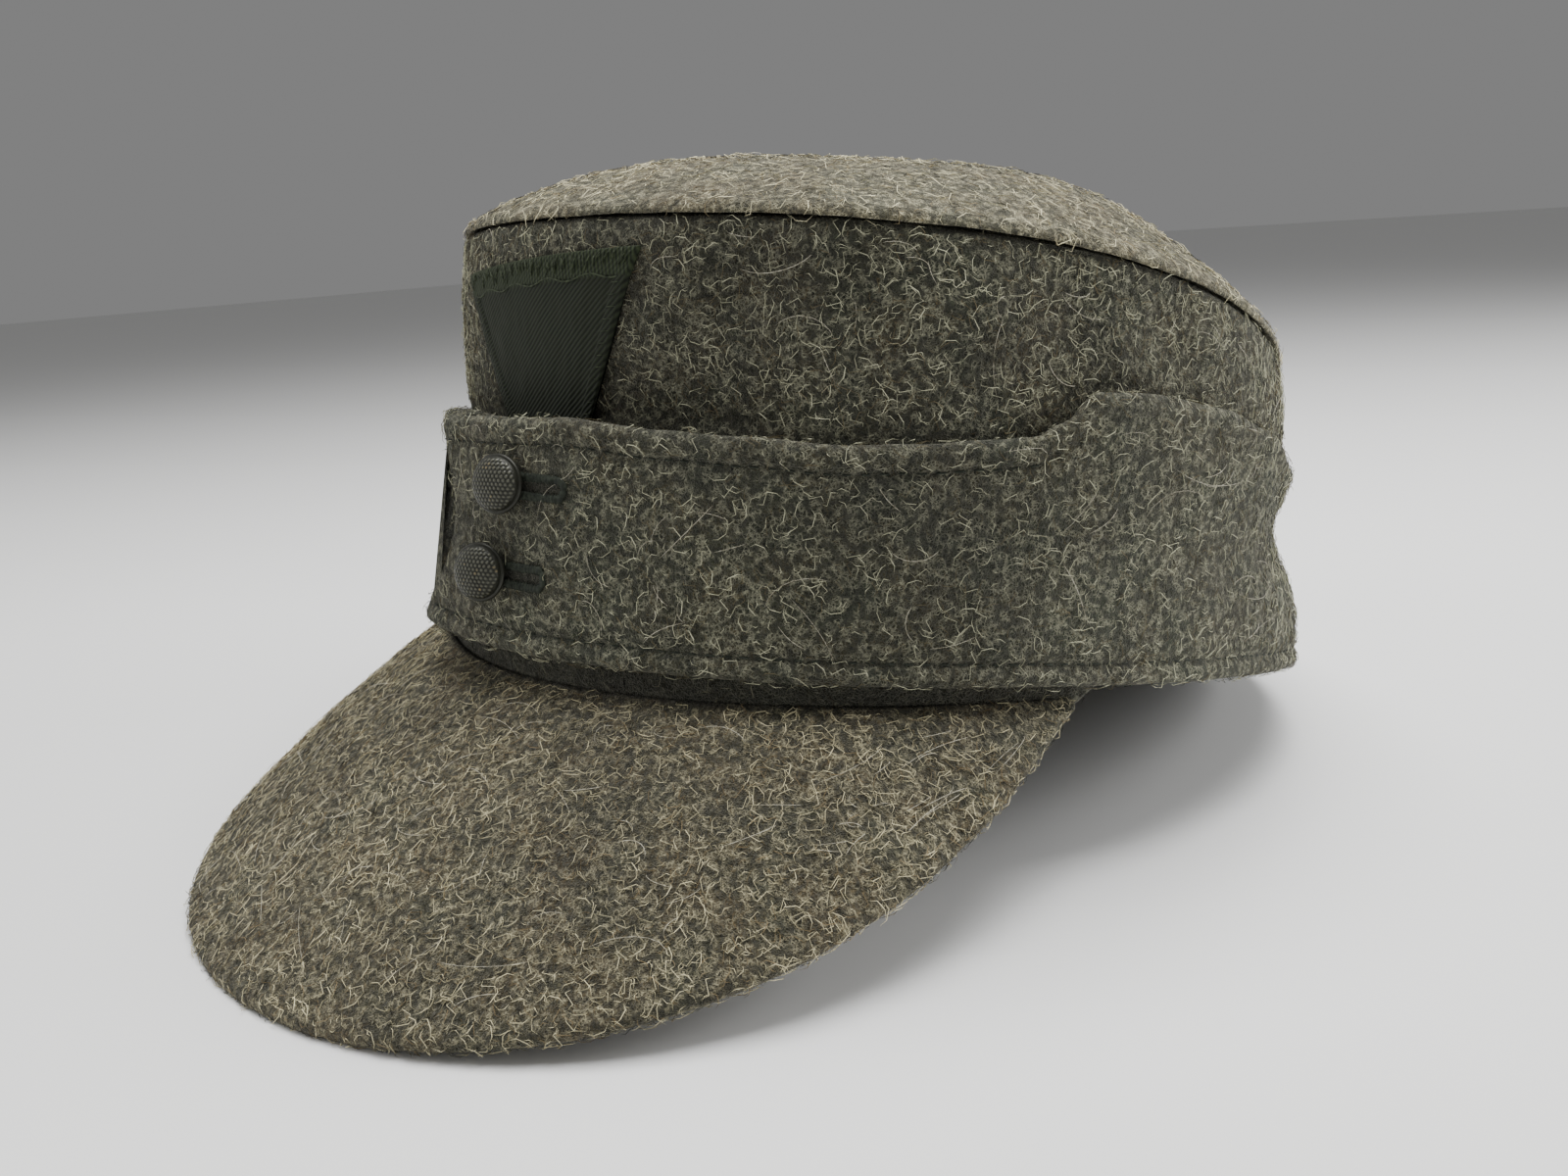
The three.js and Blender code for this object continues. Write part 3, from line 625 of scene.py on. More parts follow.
turnUp = {
    "columns": 600, "rows": 100, "corners": (0, 0.54, 0.62, 0.93, 1), "packing": 0.125,
    "grooveTop": 5.0, "grooveBottom": 4.2, "groove": 0.6, "grooveReach": 0.75, "grooveShade": 0.75,
    "stitchEnds": 62, "stitchFade": 6, "cornerRound": 3.0, "endFade": 3, "seatTall": 4, "lapSpan": 60,
    "slotReach": 0.9, "slotFade": 0.7,
}
topEdge = {"puff": 0.5, "middle": 2.3, "wide": 1.9, "ripple": 0.35, "seed": 3, "pitch": 26, "depth": 5}
hemEdge = {"puff": 0.4, "middle": 2.0, "wide": 1.7, "ripple": 0.3, "seed": 4, "pitch": 24, "depth": 4}
rippleReach = 5
buttons = {
    "Upper": {"height": 32.5, "along": 7.0, "turn": 14, "off": 2.4},
    "Lower": {"height": 15.8, "along": 2.5, "turn": 20, "off": 3.1},
}
buttonhole = {
    "columns": 276, "rows": 12, "radius": 1.1, "straight": 15.3, "shank": 0.9, "middle": 0.6, "half": 0.85,
    "rise": 0.5, "flat": 0.34, "threads": 46, "valley": 0.72, "rough": 0.22, "roughPitch": 1.3, "under": 0.35,
}
stripLength = 2 * pi + underEnd - upperEnd


def stitchedTop(angle):  # whether the top edge's seam runs here
    return 1 - smooth((abs(turnBetween(angle, 0)) - turnUp["stitchEnds"]) / turnUp["stitchFade"])


def slotShade(angle, height):  # painted shade on the cloth inside the buttonholes
    shade = 0.0
    for button in buttons.values():
        x = (angle - alongArc(button["along"])) * turnUpHalfLength + buttonhole["shank"] / 2
        x = x - min(max(x, 0), buttonhole["straight"])
        apart = hypot(x, height - button["height"])
        shade = max(shade, 1 - smooth((apart - turnUp["slotReach"]) / turnUp["slotFade"]))
    return shade


def edgeRelief(edge, angle, depth):  # how an edge's roll puffs out and ripples, at a depth from it
    ripple = edge["ripple"] * pucker(angle, edge["seed"], edge["pitch"])
    puff = edge["puff"] * bump(depth - edge["middle"], edge["wide"])
    return ripple * bump(depth - edge["depth"], rippleReach) - puff


def turnUpAt(travel, stage, t):
    left = stripLength - travel
    lap = underEnd - upperEnd
    clear = alongArc(cap["lapWall"] * cap["lapSettle"])
    sunk = 1 - smooth((travel - lap - clear) / (cap["lapSettle"] * clear))
    raised = 1 - smooth((left - lap - clear) / (cap["lapSettle"] * clear))
    thick = mix(cap["turnUpWall"], cap["lapWall"], sunk)
    sink = cap["lapWall"] + cap["gap"] + cap["turnUpWall"] - cap["lapRise"]
    lift = cap["lapRise"] * raised - (sink - cap["lapWall"]) * sunk + prow(left)
    ending = smooth(1 - left / -upperEnd)
    half = thick / 2
    near = min(travel, left) * turnUpHalfLength
    taper = sqrt(max(0, 1 - max(0, 1 - near / half) ** 2))
    plainAngle = underEnd - travel
    tall = cap["turnUpHeight"] * readTable(turnUpTop, plainAngle)
    edge = half / tall
    swing = pi * t
    if stage == 0:
        up, inward, outside = mix(edge, 1 - edge, t), half * (1 - taper), 1
    elif stage == 1:
        up, inward = 1 - edge + edge * sin(swing), half * (1 - taper * cos(swing))
        outside = (1 + cos(swing)) / 2
    elif stage == 2:
        up, inward, outside = mix(1 - edge, edge, t), half * (1 + taper), 0
    else:
        up, inward = edge - edge * sin(swing), half * (1 + taper * cos(swing))
        outside = (1 - cos(swing)) / 2
    fromTop, fromHem = (1 - up) * tall, up * tall
    outside *= smooth(near / turnUp["endFade"])
    seam = 0.0
    if outside:
        # painted shade: the stitch grooves and the buttonhole slots are darkened through the seam value
        above = bump(fromTop - turnUp["grooveTop"], turnUp["grooveReach"]) * stitchedTop(plainAngle)
        under = bump(fromHem - turnUp["grooveBottom"], turnUp["grooveReach"])
        relief = edgeRelief(topEdge, plainAngle, fromTop) + edgeRelief(hemEdge, plainAngle, fromHem)
        inward += (turnUp["groove"] * (above + under) + relief) * outside
        shade = slotShade(2 * pi + plainAngle, fromHem + hemHeight(plainAngle)) if left < 1 else 0.0
        seam = min(1, max(turnUp["grooveShade"] * max(above, under) ** 3, shade))
    swing = sum(reach * bump(up - at, wide) for at, wide, reach in endShape) * alongArc(cap["endReach"])
    corner = rolled(fromTop, turnUp["cornerRound"]) + rolled(fromHem, turnUp["cornerRound"])
    angle = plainAngle - (swing - alongArc(corner)) * ending
    lift += cap["endCurl"] * bump(up, cap["curlTall"]) * ending
    point = turnUpPoint(angle, up, inward, lift)
    if stage == 2:  # the hem's inner face lies against the side wall
        seat = smooth(1 - fromHem / turnUp["seatTall"]) * (1 - max(sunk, raised))
        wallAt = sidePoint(angle, sideShare(angle, hemHeight(angle) + fromHem), -cap["gap"])
        point = point.lerp(wallAt, seat)
    point.z -= cap["endDrop"] * bump(1 - up, cap["curlTall"]) * ending
    if plainAngle < -pi and abs(turnBetween(plainAngle, 0)) < turnUp["lapSpan"]:
        return point, seam  # the buttoned end is pulled straight
    return pinched(point, plainAngle), seam


def turnUpPlace(u, w):
    travel = stripLength * (u - turnUp["packing"] * sin(2 * pi * u))
    return turnUpAt(travel, *crossing(w, turnUp["corners"]))


peak = {"columns": 280, "rows": 88, "corners": (0, 0.55, 0.62, 0.96, 1), "seamReach": 0.012}


def peakPlace(u, w):
    reach = cap["peakSewn"] * radians(cap["peakEndAngle"])
    angle = mix(reach, -reach, u)
    stage, t = crossing(w, peak["corners"])
    if stage == 0:
        # painted shade: darker where the peak meets the band, and on its foot face against the wall
        return peakPoint(angle, t, False), bump(t, peak["seamReach"])
    if stage == 2:
        return peakPoint(angle, 1 - t, True), 0.0
    if stage == 3:
        return peakPoint(angle, 0, True).lerp(peakPoint(angle, 0, False), t), 1.0
    run, face, length, thick, wall, foot, slope = peakFrame(angle)
    swing = pi * (0.5 - t)
    middle = peakPoint(angle, 1, False) - face * (thick / 2)
    return middle + (run * cos(swing) + face * sin(swing)) * (thick / 2), 0.0


def finishPiece(piece, slot, *nodes):
    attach(piece, "root")
    if nodes:
        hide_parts(*nodes)


uvSpan = (0.6, 0.2)  # metres of cloth round the cap and across it, for the shells' own maps
for name, place, sizes, key, slot, node in (
    ("crownSide", sidePlace, crownSide, "body", "wool_body", "crown_side"),
    ("crownTop", topPlace, crownTop, "top", "wool_body", "crown_top"),
    ("turnUp", turnUpPlace, turnUp, "turnUp", "wool_turn_up", "turn_up"),
    ("peak", peakPlace, peak, "peak", "wool_peak", "peak"),
):
    shell = clothSheet(name, sizes["columns"], sizes["rows"], place, [woolMaterials[key]], uvSpan, feltRelief)
    finishPiece(shell, slot, node)
    print(name, len(shell.data.polygons), "faces")


def ringAt(bm, sides, thick, matrix):
    return bmesh.ops.create_circle(bm, segments=sides, radius=thick / 2, matrix=matrix)["verts"]


def bentThread(bm, points, thick, sides=5, tip=0.5):  # a thread through the points, closed at both ends
    rings = []
    for index, point in enumerate(points):
        before, after = points[max(index - 1, 0)], points[min(index + 1, len(points) - 1)]
        turn = (after - before).to_track_quat("Z", "Y").to_matrix().to_4x4()
        narrow = tip if index in (0, len(points) - 1) else 1
        rings.append(ringAt(bm, sides, thick * narrow, Matrix.Translation(point) @ turn))
    for first, second in zip(rings, rings[1:]):
        for a in range(sides):
            bm.faces.new((first[a], first[a - 1], second[a - 1], second[a]))
    bm.faces.new(rings[0])
    bm.faces.new(rings[-1])


def threadPiece(bm, name, materials):
    bmesh.ops.recalc_face_normals(bm, faces=bm.faces)
    for vert in bm.verts:
        vert.co = settled(vert.co)
        vert.co.z = max(vert.co.z, 0)
    for face in bm.faces:
        face.smooth = True
    return toObject(bm, name, materials)


def threadMaterial(name, dark, light, roughness):
    material, n, shader = newMaterial(name, {"Roughness": roughness, "Specular IOR Level": 0.3})
    n.feed(shader, {"Base Color": n.mixColour(n.cloud((1100, 2.0, 0.6), 0.35, 0.65), dark, light)})
    return material


seamThread = threadMaterial("seam_thread", (0.012, 0.016, 0.011), (0.035, 0.042, 0.03), 0.7)
holeThread = threadMaterial("buttonhole_thread", (0.008, 0.011, 0.007), (0.028, 0.035, 0.023), 0.75)
patchThread = threadMaterial("patch_thread", (0.012, 0.017, 0.007), (0.05, 0.065, 0.03), 0.7)
hairMaterial = threadMaterial("stray_wool", (0.3, 0.27, 0.19), (0.6, 0.57, 0.46), 0.6)

stitches = {
    "pitch": 3.3, "length": 2.2, "thick": 0.34, "topFrom": -10, "topTo": 63, "hemAfter": 4, "hemBefore": 30,
    "bends": ((-0.5, -0.25), (-0.28, 0.16), (0.28, 0.16), (0.5, -0.25)),  # along as a share, and outward
}
nearStep = 0.004  # to a second point that gives a surface's direction


def stripPoint(angle, up, outward):  # a point of the turn-up's outer face, by its angle on the buttoned side
    tall = cap["turnUpHeight"] * readTable(turnUpTop, angle)
    edge = cap["turnUpWall"] / 2 / tall
    travel = 2 * pi + underEnd - angle
    share = (up - edge) / (1 - 2 * edge)
    point, after = (turnUpAt(spot, 0, share)[0] for spot in (travel, travel - nearStep))
    ahead = (after - point).normalized()
    return point + Vector((ahead.y, -ahead.x, 0)).normalized() * outward


def seamStitches():
    bm = bmesh.new()
    hemFirst = upperEnd + alongArc(stitches["hemAfter"])
    hemLast = 2 * pi + underEnd - alongArc(stitches["hemBefore"])
    for line, first, last in (
        ("top", radians(stitches["topFrom"]), radians(stitches["topTo"])),
        ("hem", hemFirst, hemLast),
    ):
        count = int((last - first) / alongArc(stitches["pitch"]))
        for index in range(count):
            angle = mix(first, last, index / count)
            points = []
            for part, out in stitches["bends"]:
                at = angle + alongArc(stitches["length"]) * part
                tall = cap["turnUpHeight"] * readTable(turnUpTop, at)
                up = 1 - turnUp["grooveTop"] / tall if line == "top" else turnUp["grooveBottom"] / tall
                points.append(stripPoint(at, up, out))
            bentThread(bm, points, stitches["thick"])
    return threadPiece(bm, "turnUpStitches", [seamThread])


finishPiece(seamStitches(), "thread")
print("stitches made")


def buttonSeat(height, along):
    angle = alongArc(along)
    up = (height - hemHeight(angle)) / (cap["turnUpHeight"] * readTable(turnUpTop, angle))
    point = lapPoint(angle, up, 0)
    ahead = (lapPoint(angle + 0.01, up, 0) - point).normalized()
    out = Vector((ahead.y, -ahead.x, 0)).normalized()
    return {"angle": angle, "up": up, "point": point, "ahead": ahead, "out": out, "above": ahead.cross(out)}


def holePlace(seat, u, w):  # the whipped edge: round the slot by u, round the thread's section by w
    hole = buttonhole
    across, rise = cos(2 * pi * w), sin(2 * pi * w)
    rib = mix(hole["valley"], 1, abs(sin(pi * u * hole["threads"])) ** 0.7)
    radius = hole["radius"] + hole["middle"]
    turn = pi * hole["radius"]
    total = 2 * hole["straight"] + 2 * turn
    along = u * total
    if along < hole["straight"]:
        x, y = along, -radius
    elif along < hole["straight"] + turn:
        swing = (along - hole["straight"]) / hole["radius"]
        x, y = hole["straight"] + radius * sin(swing), -radius * cos(swing)
    elif along < 2 * hole["straight"] + turn:
        x, y = 2 * hole["straight"] + turn - along, radius
    else:
        swing = (along - 2 * hole["straight"] - turn) / hole["radius"]
        x, y = -radius * sin(swing), radius * cos(swing)
    grain = Vector((x * hole["roughPitch"], y * hole["roughPitch"] + across, rise + seat["angle"] * 40))
    rough = hole["rough"] * noise.noise(grain)
    nearest = min(max(x, 0), hole["straight"])
    wide = 1 + (hole["half"] * rib + rough) * across / radius
    x, y = nearest + (x - nearest) * wide, y * wide
    out = hole["flat"] + (hole["rise"] * rib + rough) * rise * (1 if rise > 0 else hole["under"])
    spot = lapPoint(seat["angle"] + alongArc(x - hole["shank"] / 2), seat["up"], out)
    spot.z = seat["point"].z + y
    return spot, 0.0


metal = {
    "radius": 5.55, "rim": 0.9, "dome": 3.0, "shank": 0.9, "shankSpare": 1.2, "columns": 168, "rows": 84,
    "corners": (0, 0.62, 0.78, 0.92, 1), "plainEdge": 0.55, "edgeFrom": 0.25, "edgeFade": 0.2,
    "pebble": 0.84, "pebbleRise": 0.24, "pebbleReach": 0.42, "pebbleSunk": 0.4,
}


def pebbles(x, y):  # a bed of round bumps in staggered rows
    pitch = metal["pebble"]
    row = pitch * sqrt(3) / 2
    best = pitch
    for j in (floor(y / row), floor(y / row) + 1):
        shift = pitch / 2 if j % 2 else 0
        i = round((x - shift) / pitch)
        best = min(best, hypot(x - shift - i * pitch, y - j * row))
    return max(0.0, 1 - (best / metal["pebbleReach"]) ** 2)


def buttonPlace(button, seat, u, w):
    radius, rim = metal["radius"], metal["rim"]
    stage, t = crossing(w, metal["corners"])
    angle = 2 * pi * u
    crest = 0.0
    base = radius - metal["plainEdge"]
    if stage == 0:
        swing = pi / 2 * (1 - t)
        r, h = base * cos(swing), rim + (metal["dome"] - rim) * sin(swing)
        x, y = r * cos(angle), r * sin(angle)
        crest = pebbles(x, y) * (1 - smooth((r - base + metal["edgeFrom"]) / metal["edgeFade"]))
        h += metal["pebbleRise"] * (crest - metal["pebbleSunk"])
    elif stage == 1:
        swing = pi * (t - 0.5)
        r, h = radius - rim / 2 + rim / 2 * cos(swing), rim / 2 - rim / 2 * sin(swing)
    elif stage == 2:
        r, h = mix(radius - rim / 2, metal["shank"], t), 0.0
    else:
        r, h = metal["shank"] * (1 if t < 1 else 0), -(button["off"] + metal["shankSpare"]) * min(1, t * 1.3)
    turn = radians(button["turn"])
    facing = seat["ahead"] * sin(turn) + seat["out"] * cos(turn)
    side = seat["ahead"] * cos(turn) - seat["out"] * sin(turn)
    depth = cap["turnUpWall"] / 2
    pivot = seat["point"] - seat["out"] * depth
    disc = side * (r * cos(angle)) + seat["above"] * (r * sin(angle))
    return pivot + facing * (button["off"] + depth + h) + disc, crest


def paintedMetal():  # dull green paint, worn to brass on the pebbles' tops here and there
    material, n, shader = newMaterial("painted_metal", {})
    crest = n.ramp(n.attribute("seam"), 0.45, 0.95)
    grime = n.cloud((500, 3.0, 0.6), 0.35, 0.7)
    paint = n.mixColour(grime, (0.018, 0.018, 0.012), (0.03, 0.031, 0.022))
    paint = n.mixColour(n.math("MULTIPLY", crest, 0.75), paint, (0.13, 0.13, 0.095))
    wearAndShade = n.math("MULTIPLY", crest, n.cloud((260, 2.0, 0.5), 0.6, 0.68))
    n.feed(shader, {
        "Base Color": n.mixColour(wearAndShade, paint, (0.3, 0.23, 0.11)),
        "Metallic": n.ramp(wearAndShade, 0, 1, 0.35, 0.9),
        "Roughness": n.ramp(grime, 0, 1, 0.5, 0.36),
    })
    return material


buttonMetal = paintedMetal()
for label, button in buttons.items():
    seat = buttonSeat(button["height"], button["along"])
    for name, sizes, place, material, uvSize, slot in (
        ("button", metal, partial(buttonPlace, button, seat), buttonMetal, (0.03, 0.02), "button_metal"),
        ("buttonhole", buttonhole, partial(holePlace, seat), holeThread, (0.04, 0.003), "thread"),
    ):
        made = clothSheet(name + label, sizes["columns"], sizes["rows"], place, [material], uvSize)
        finishPiece(made, slot, name + "_" + label.lower())
print("buttons made")

patch = {
    "columns": 100, "rows": 104, "corners": (0, 0.6, 0.63, 0.97, 1), "topHalf": 27, "bottomHalf": 9.5,
    "height": 37, "belowSeam": 6.5, "aside": 3, "turn": 4, "mean": 0.7, "half": 0.4,
    "hem": 2.6, "hemRise": 0.35, "hemFade": 0.5, "band": 4.6, "bandRise": 0.3, "bandFade": 0.4, "seamTop": 80.4,
    "waves": ((0.22, 7, 5, 3), (0.1, 24, 9, 5)),  # height, pitch across, pitch along, seed
}


def patchPoint(column, row, raised):
    slant = tan(radians(patch["turn"]))
    across = mix(patch["bottomHalf"], patch["topHalf"], row) * (2 * column - 1)
    below = patch["height"] * (1 - row)
    height = patch["seamTop"] - patch["belowSeam"] - below + across * slant
    angle = asin((across + patch["aside"] + below * slant) / cap["seamHalfWidth"])
    return sidePoint(angle, sideShare(angle, height), -raised)


def patchPlace(u, w):
    stage, t = crossing(w, patch["corners"])
    row = (t, 1, 1 - t, 0)[stage]
    near = min(u, 1 - u) * 2 * mix(patch["bottomHalf"], patch["topHalf"], row)
    taper = sqrt(max(0, 1 - max(0, 1 - near / patch["half"]) ** 2))
    band = 1 - smooth((patch["height"] * (1 - row) - patch["band"]) / patch["bandFade"])
    folds = patch["hemRise"] * (1 - smooth((near - patch["hem"]) / patch["hemFade"])) * taper
    folds = max(folds, patch["bandRise"] * band)
    waves = 0
    for high, across, along, seed in patch["waves"]:
        waves += high * noise.noise(Vector((u * across, row * along, seed)))
    front = patch["mean"] + patch["half"] * taper + folds + waves * taper
    back = patch["mean"] - patch["half"] * taper
    raised = (front, mix(front, back, t), back, mix(back, front, t))[stage]
    return patchPoint(u, row, raised), band


twill = {"slant": (-0.66, 0, 0.75), "upright": (1, 0, 0.12), "pitch": 0.0008, "strength": 0.8, "bump": 0.00012}


def twillMaterial():  # slanting ribs, and a paler matt band along the folded top
    material, n, shader = newMaterial("patch_twill", {"Roughness": 0.7, "Specular IOR Level": 0.2})

    def ribs(direction):
        spread = tuple(part * 2 * pi / twill["pitch"] for part in direction)
        phase = n.vector("DOT_PRODUCT", {0: n.place(), 1: spread}).outputs["Value"]
        return n.math("MULTIPLY_ADD", n.math("SINE", phase), 0.5, 0.5)

    slant = ribs(twill["slant"])
    ground = n.mixColour(slant, (0.003, 0.0045, 0.002), (0.024, 0.031, 0.016))
    ground = n.mixColour(n.cloud((160, 3.0, 0.6), 0.35, 0.7, 0, 0.45), ground, (0.014, 0.016, 0.007))
    frayed = n.mixColour(ribs(twill["upright"]), (0.008, 0.012, 0.005), (0.034, 0.045, 0.02))
    n.feed(shader, {
        "Base Color": n.mixColour(n.attribute("seam"), ground, frayed),
        "Normal": n.bump(slant, twill["strength"], twill["bump"]),
    })
    return material


made = clothSheet("badgePatch", patch["columns"], patch["rows"], patchPlace, [twillMaterial()], (0.054, 0.062))
finishPiece(made, "patch_cloth", "badge_patch")


edging = {
    "lineSteps": 40, "lineFrom": 0.03, "lineSway": 0.5, "lineTurn": 0.7, "lineSink": 0.05, "lineThick": 0.3,
    "whips": 46, "whipBends": ((0, 0.16), (0.35, 0.26), (0.7, 0.16), (1, -0.1)),  # along, and outward
    "sideRows": 15, "sideThick": 0.22, "sideBends": ((0, -0.08), (0.5, 0.08), (1, -0.08)),
    "sides": ((0.985, 0.935), (0.015, 0.065)),  # outer and inner end of each side's stitches
}


def patchStitches():
    bm = bmesh.new()
    pick = random.Random(5)
    outer = patch["mean"] + patch["half"] + patch["bandRise"]
    line = []
    for i in range(edging["lineSteps"] + 1):
        below = patch["band"] + edging["lineSway"] * sin(i * edging["lineTurn"])
        column = mix(edging["lineFrom"], 1 - edging["lineFrom"], i / edging["lineSteps"])
        line.append(patchPoint(column, 1 - below / patch["height"], outer - edging["lineSink"]))
    bentThread(bm, line, edging["lineThick"])
    for index in range(edging["whips"]):  # short whipping threads over the folded top
        at = mix(0.02, 0.98, (index + pick.uniform(-0.3, 0.3)) / (edging["whips"] - 1))
        long, lean = pick.uniform(1.2, 3.2), pick.uniform(-0.02, 0.02)
        drop = pick.uniform(0.2, 1.4)
        points = []
        for along, out in edging["whipBends"]:
            column = min(max(at + lean * along, 0.01), 0.99)
            points.append(patchPoint(column, 1 - (drop + long * along) / patch["height"], outer + out))
        bentThread(bm, points, pick.uniform(0.2, 0.32))
    for outside, inside in edging["sides"]:  # small hand stitches down both sides
        for index in range(edging["sideRows"]):
            row = mix(0.06, 0.84, index / (edging["sideRows"] - 1))
            points = [patchPoint(mix(outside, inside, k), row, outer + out) for k, out in edging["sideBends"]]
            bentThread(bm, points, edging["sideThick"])
    return threadPiece(bm, "patchStitches", [patchThread])


finishPiece(patchStitches(), "patch_cloth")
print("patch made")

hairs = {
    "thick": 0.085, "steps": 8, "shortest": 5, "longest": 15, "lift": 1.1, "curl": 2.2, "clear": 0.12,
    "lowest": 0.005, "spare": 0.03, "aside": 0.004, "upward": 0.01,
}


def hairPoint(place, u, w, highest, lift):
    w = min(max(w, hairs["lowest"]), highest + hairs["spare"])
    spot = place(u % 1.0, w)[0]
    beyond = place((u + hairs["aside"]) % 1.0, w)[0]
    above = place(u % 1.0, w + hairs["upward"])[0]
    out = (beyond - spot).cross(above - spot).normalized()
    if out.dot(spot - Vector((0, 0, capMiddle))) < 0:
        out = -out
    return spot + out * (lift + hairs["clear"])


def strayHairs():
    bm = bmesh.new()
    pick = random.Random(21)
    for place, spanU, spanW, longU, longW, count in (  # the long values: millimetres for a whole u and w
        (sidePlace, (0, 1), (0.34, 0.6), 540, 118, 80),
        (topPlace, (0, 1), (0.02, 0.3), 480, 130, 70),
        (turnUpPlace, (0.06, 0.94), (0.05, 0.5), 620, 78, 130),
        (peakPlace, (0.08, 0.92), (0.05, 0.5), 230, 135, 120),
    ):
        for index in range(count):
            u, w = pick.uniform(*spanU), pick.uniform(*spanW)
            heading, bend = pick.uniform(0, 2 * pi), pick.uniform(-1, 1) * hairs["curl"]
            length = mix(hairs["shortest"], hairs["longest"], pick.random() ** 2.2)
            lift = hairs["lift"] * pick.uniform(0.3, 1)
            points = []
            for step in range(hairs["steps"]):
                t = step / (hairs["steps"] - 1)
                points.append(hairPoint(place, u, w, spanW[1], lift * sin(pi * t)))
                way = heading + bend * t
                u += cos(way) * length / (hairs["steps"] - 1) / longU
                w += sin(way) * length / (hairs["steps"] - 1) / longW
            bentThread(bm, points, hairs["thick"] * pick.uniform(0.8, 1.5), 3)
    return threadPiece(bm, "strayHairs", [hairMaterial])


finishPiece(strayHairs(), "wool_body")
print("stray hairs made")

nap = {
    "needles": (  # length, then for each ring how far along it is, sways and lifts
        (1.9, ((0.0, 0.45, 0.2),)),
        (1.5, ((0.1, -0.3, 0.15),)),
        (2.3, ((-0.1, 0.5, 0.35),)),
        (3.5, ((-0.2, 0.95, 0.3), (0.22, 0.8, 0.5))),
        (3.0, ((-0.24, -0.7, 0.4), (0.2, 0.6, 0.25))),
    ),
    "thick": 0.115, "tilt": 12, "lean": 0.2, "sizes": (0.6, 1.3), "fibres": 17000, "seed": 11, "seamBare": 1.2,
}


def needle(name, length, bends):  # a bent fibre, pointed at both ends
    bm = bmesh.new()
    turn = Matrix.Rotation(pi / 2, 4, "Y")
    rings = []
    for along, sway, lift in bends:
        spot = Matrix.Translation((along * length, sway, lift))
        rings.append(ringAt(bm, 3, nap["thick"], spot @ turn))
    for first, second in zip(rings, rings[1:]):
        for a in range(3):
            bm.faces.new((first[a], first[a - 1], second[a - 1], second[a]))
    for ring, side in ((rings[0], -1), (rings[-1], 1)):
        tip = bm.verts.new((side * length / 2, 0, 0 if side < 0 else bends[-1][2] * 0.5))
        for a in range(3):
            bm.faces.new((ring[a], ring[a - 1], tip))
    bmesh.ops.recalc_face_normals(bm, faces=bm.faces)
    bmesh.ops.scale(bm, verts=bm.verts, vec=(0.001, 0.001, 0.001))
    return toObject(bm, name, [])


needles = bpy.data.collections.new("needles")
bpy.context.scene.collection.children.link(needles)
for index, (length, bends) in enumerate(nap["needles"]):
    made = needle("needle%d" % index, length, bends)
    bpy.context.scene.collection.objects.unlink(made)
    needles.objects.link(made)


def napNodes():
    sockets = {"Geometry": "Geometry", "Density": "Float", "Seed": "Int"}
    tree, n, start, end = groupOf("Geometry", "grow nap", sockets, {"Geometry": "Geometry"})
    spread = n.add("GeometryNodeDistributePointsOnFaces", {
        "Mesh": start["Geometry"], "Density": start["Density"], "Seed": start["Seed"],
    }).outputs
    source = n.add("GeometryNodeCollectionInfo", {
        "Collection": needles, "Separate Children": True, "Reset Children": True,
    })
    put = n.add("GeometryNodeInstanceOnPoints", {
        "Pick Instance": True, "Points": spread["Points"], "Rotation": spread["Rotation"],
        "Instance": source.outputs[0], "Instance Index": n.chance("INT", 0, len(nap["needles"]) - 1),
        "Scale": n.chance("FLOAT", *nap["sizes"]),
    })
    low, lean = radians(nap["tilt"]), nap["lean"]
    turn = n.chance("FLOAT_VECTOR", (-lean, -low, 0), (lean, low * 0.4, 2 * pi))
    spin = n.add("GeometryNodeRotateInstances", {"Instances": put.outputs[0], "Rotation": turn})
    inputs = {"Geometry": spin.outputs[0], "Name": "fibre", "Value": n.chance("FLOAT")}
    keep = n.add("GeometryNodeStoreNamedAttribute", inputs, data_type="FLOAT", domain="INSTANCE")
    n.feed(end, {0: n.add("GeometryNodeRealizeInstances", {0: keep.outputs[0]}).outputs[0]})
    return tree, {item.name: item.identifier for item in tree.interface.items_tree if item.in_out == "INPUT"}


napTree, napInputs = napNodes()
capCentre = settled(Vector((0, 0, capMiddle)))


def outerSkin(name, place, columns, rows, span):  # the cloth's outer face alone, for fibres to stand on
    def stretch(u, w):
        return place(u, mix(*span, w) % 1.0)

    skin = clothSheet(name, columns, rows, stretch, [], (1, 1), feltRelief, closed=False)
    bm = bmesh.new()
    bm.from_mesh(skin.data)
    bm.normal_update()
    if sum(face.normal.dot(face.calc_center_median() - capCentre) * face.calc_area() for face in bm.faces) < 0:
        bmesh.ops.reverse_faces(bm, faces=bm.faces)
    mark = bm.verts.layers.float["seam"]
    bare = [face for face in bm.faces if sum(vert[mark] for vert in face.verts) > nap["seamBare"]]
    bmesh.ops.delete(bm, geom=bare, context="FACES")
    area = sum(face.calc_area() for face in bm.faces)
    bm.to_mesh(skin.data)
    bm.free()
    return skin, area


def evaluatedCopy(source, name):
    bpy.context.view_layer.update()
    graph = bpy.context.evaluated_depsgraph_get()
    mesh = bpy.data.meshes.new_from_object(source.evaluated_get(graph))
    mesh.name = name
    return toScene(name, mesh)


def rimPlace(u, w):
    return sidePlace(u, w)[0], 0.0


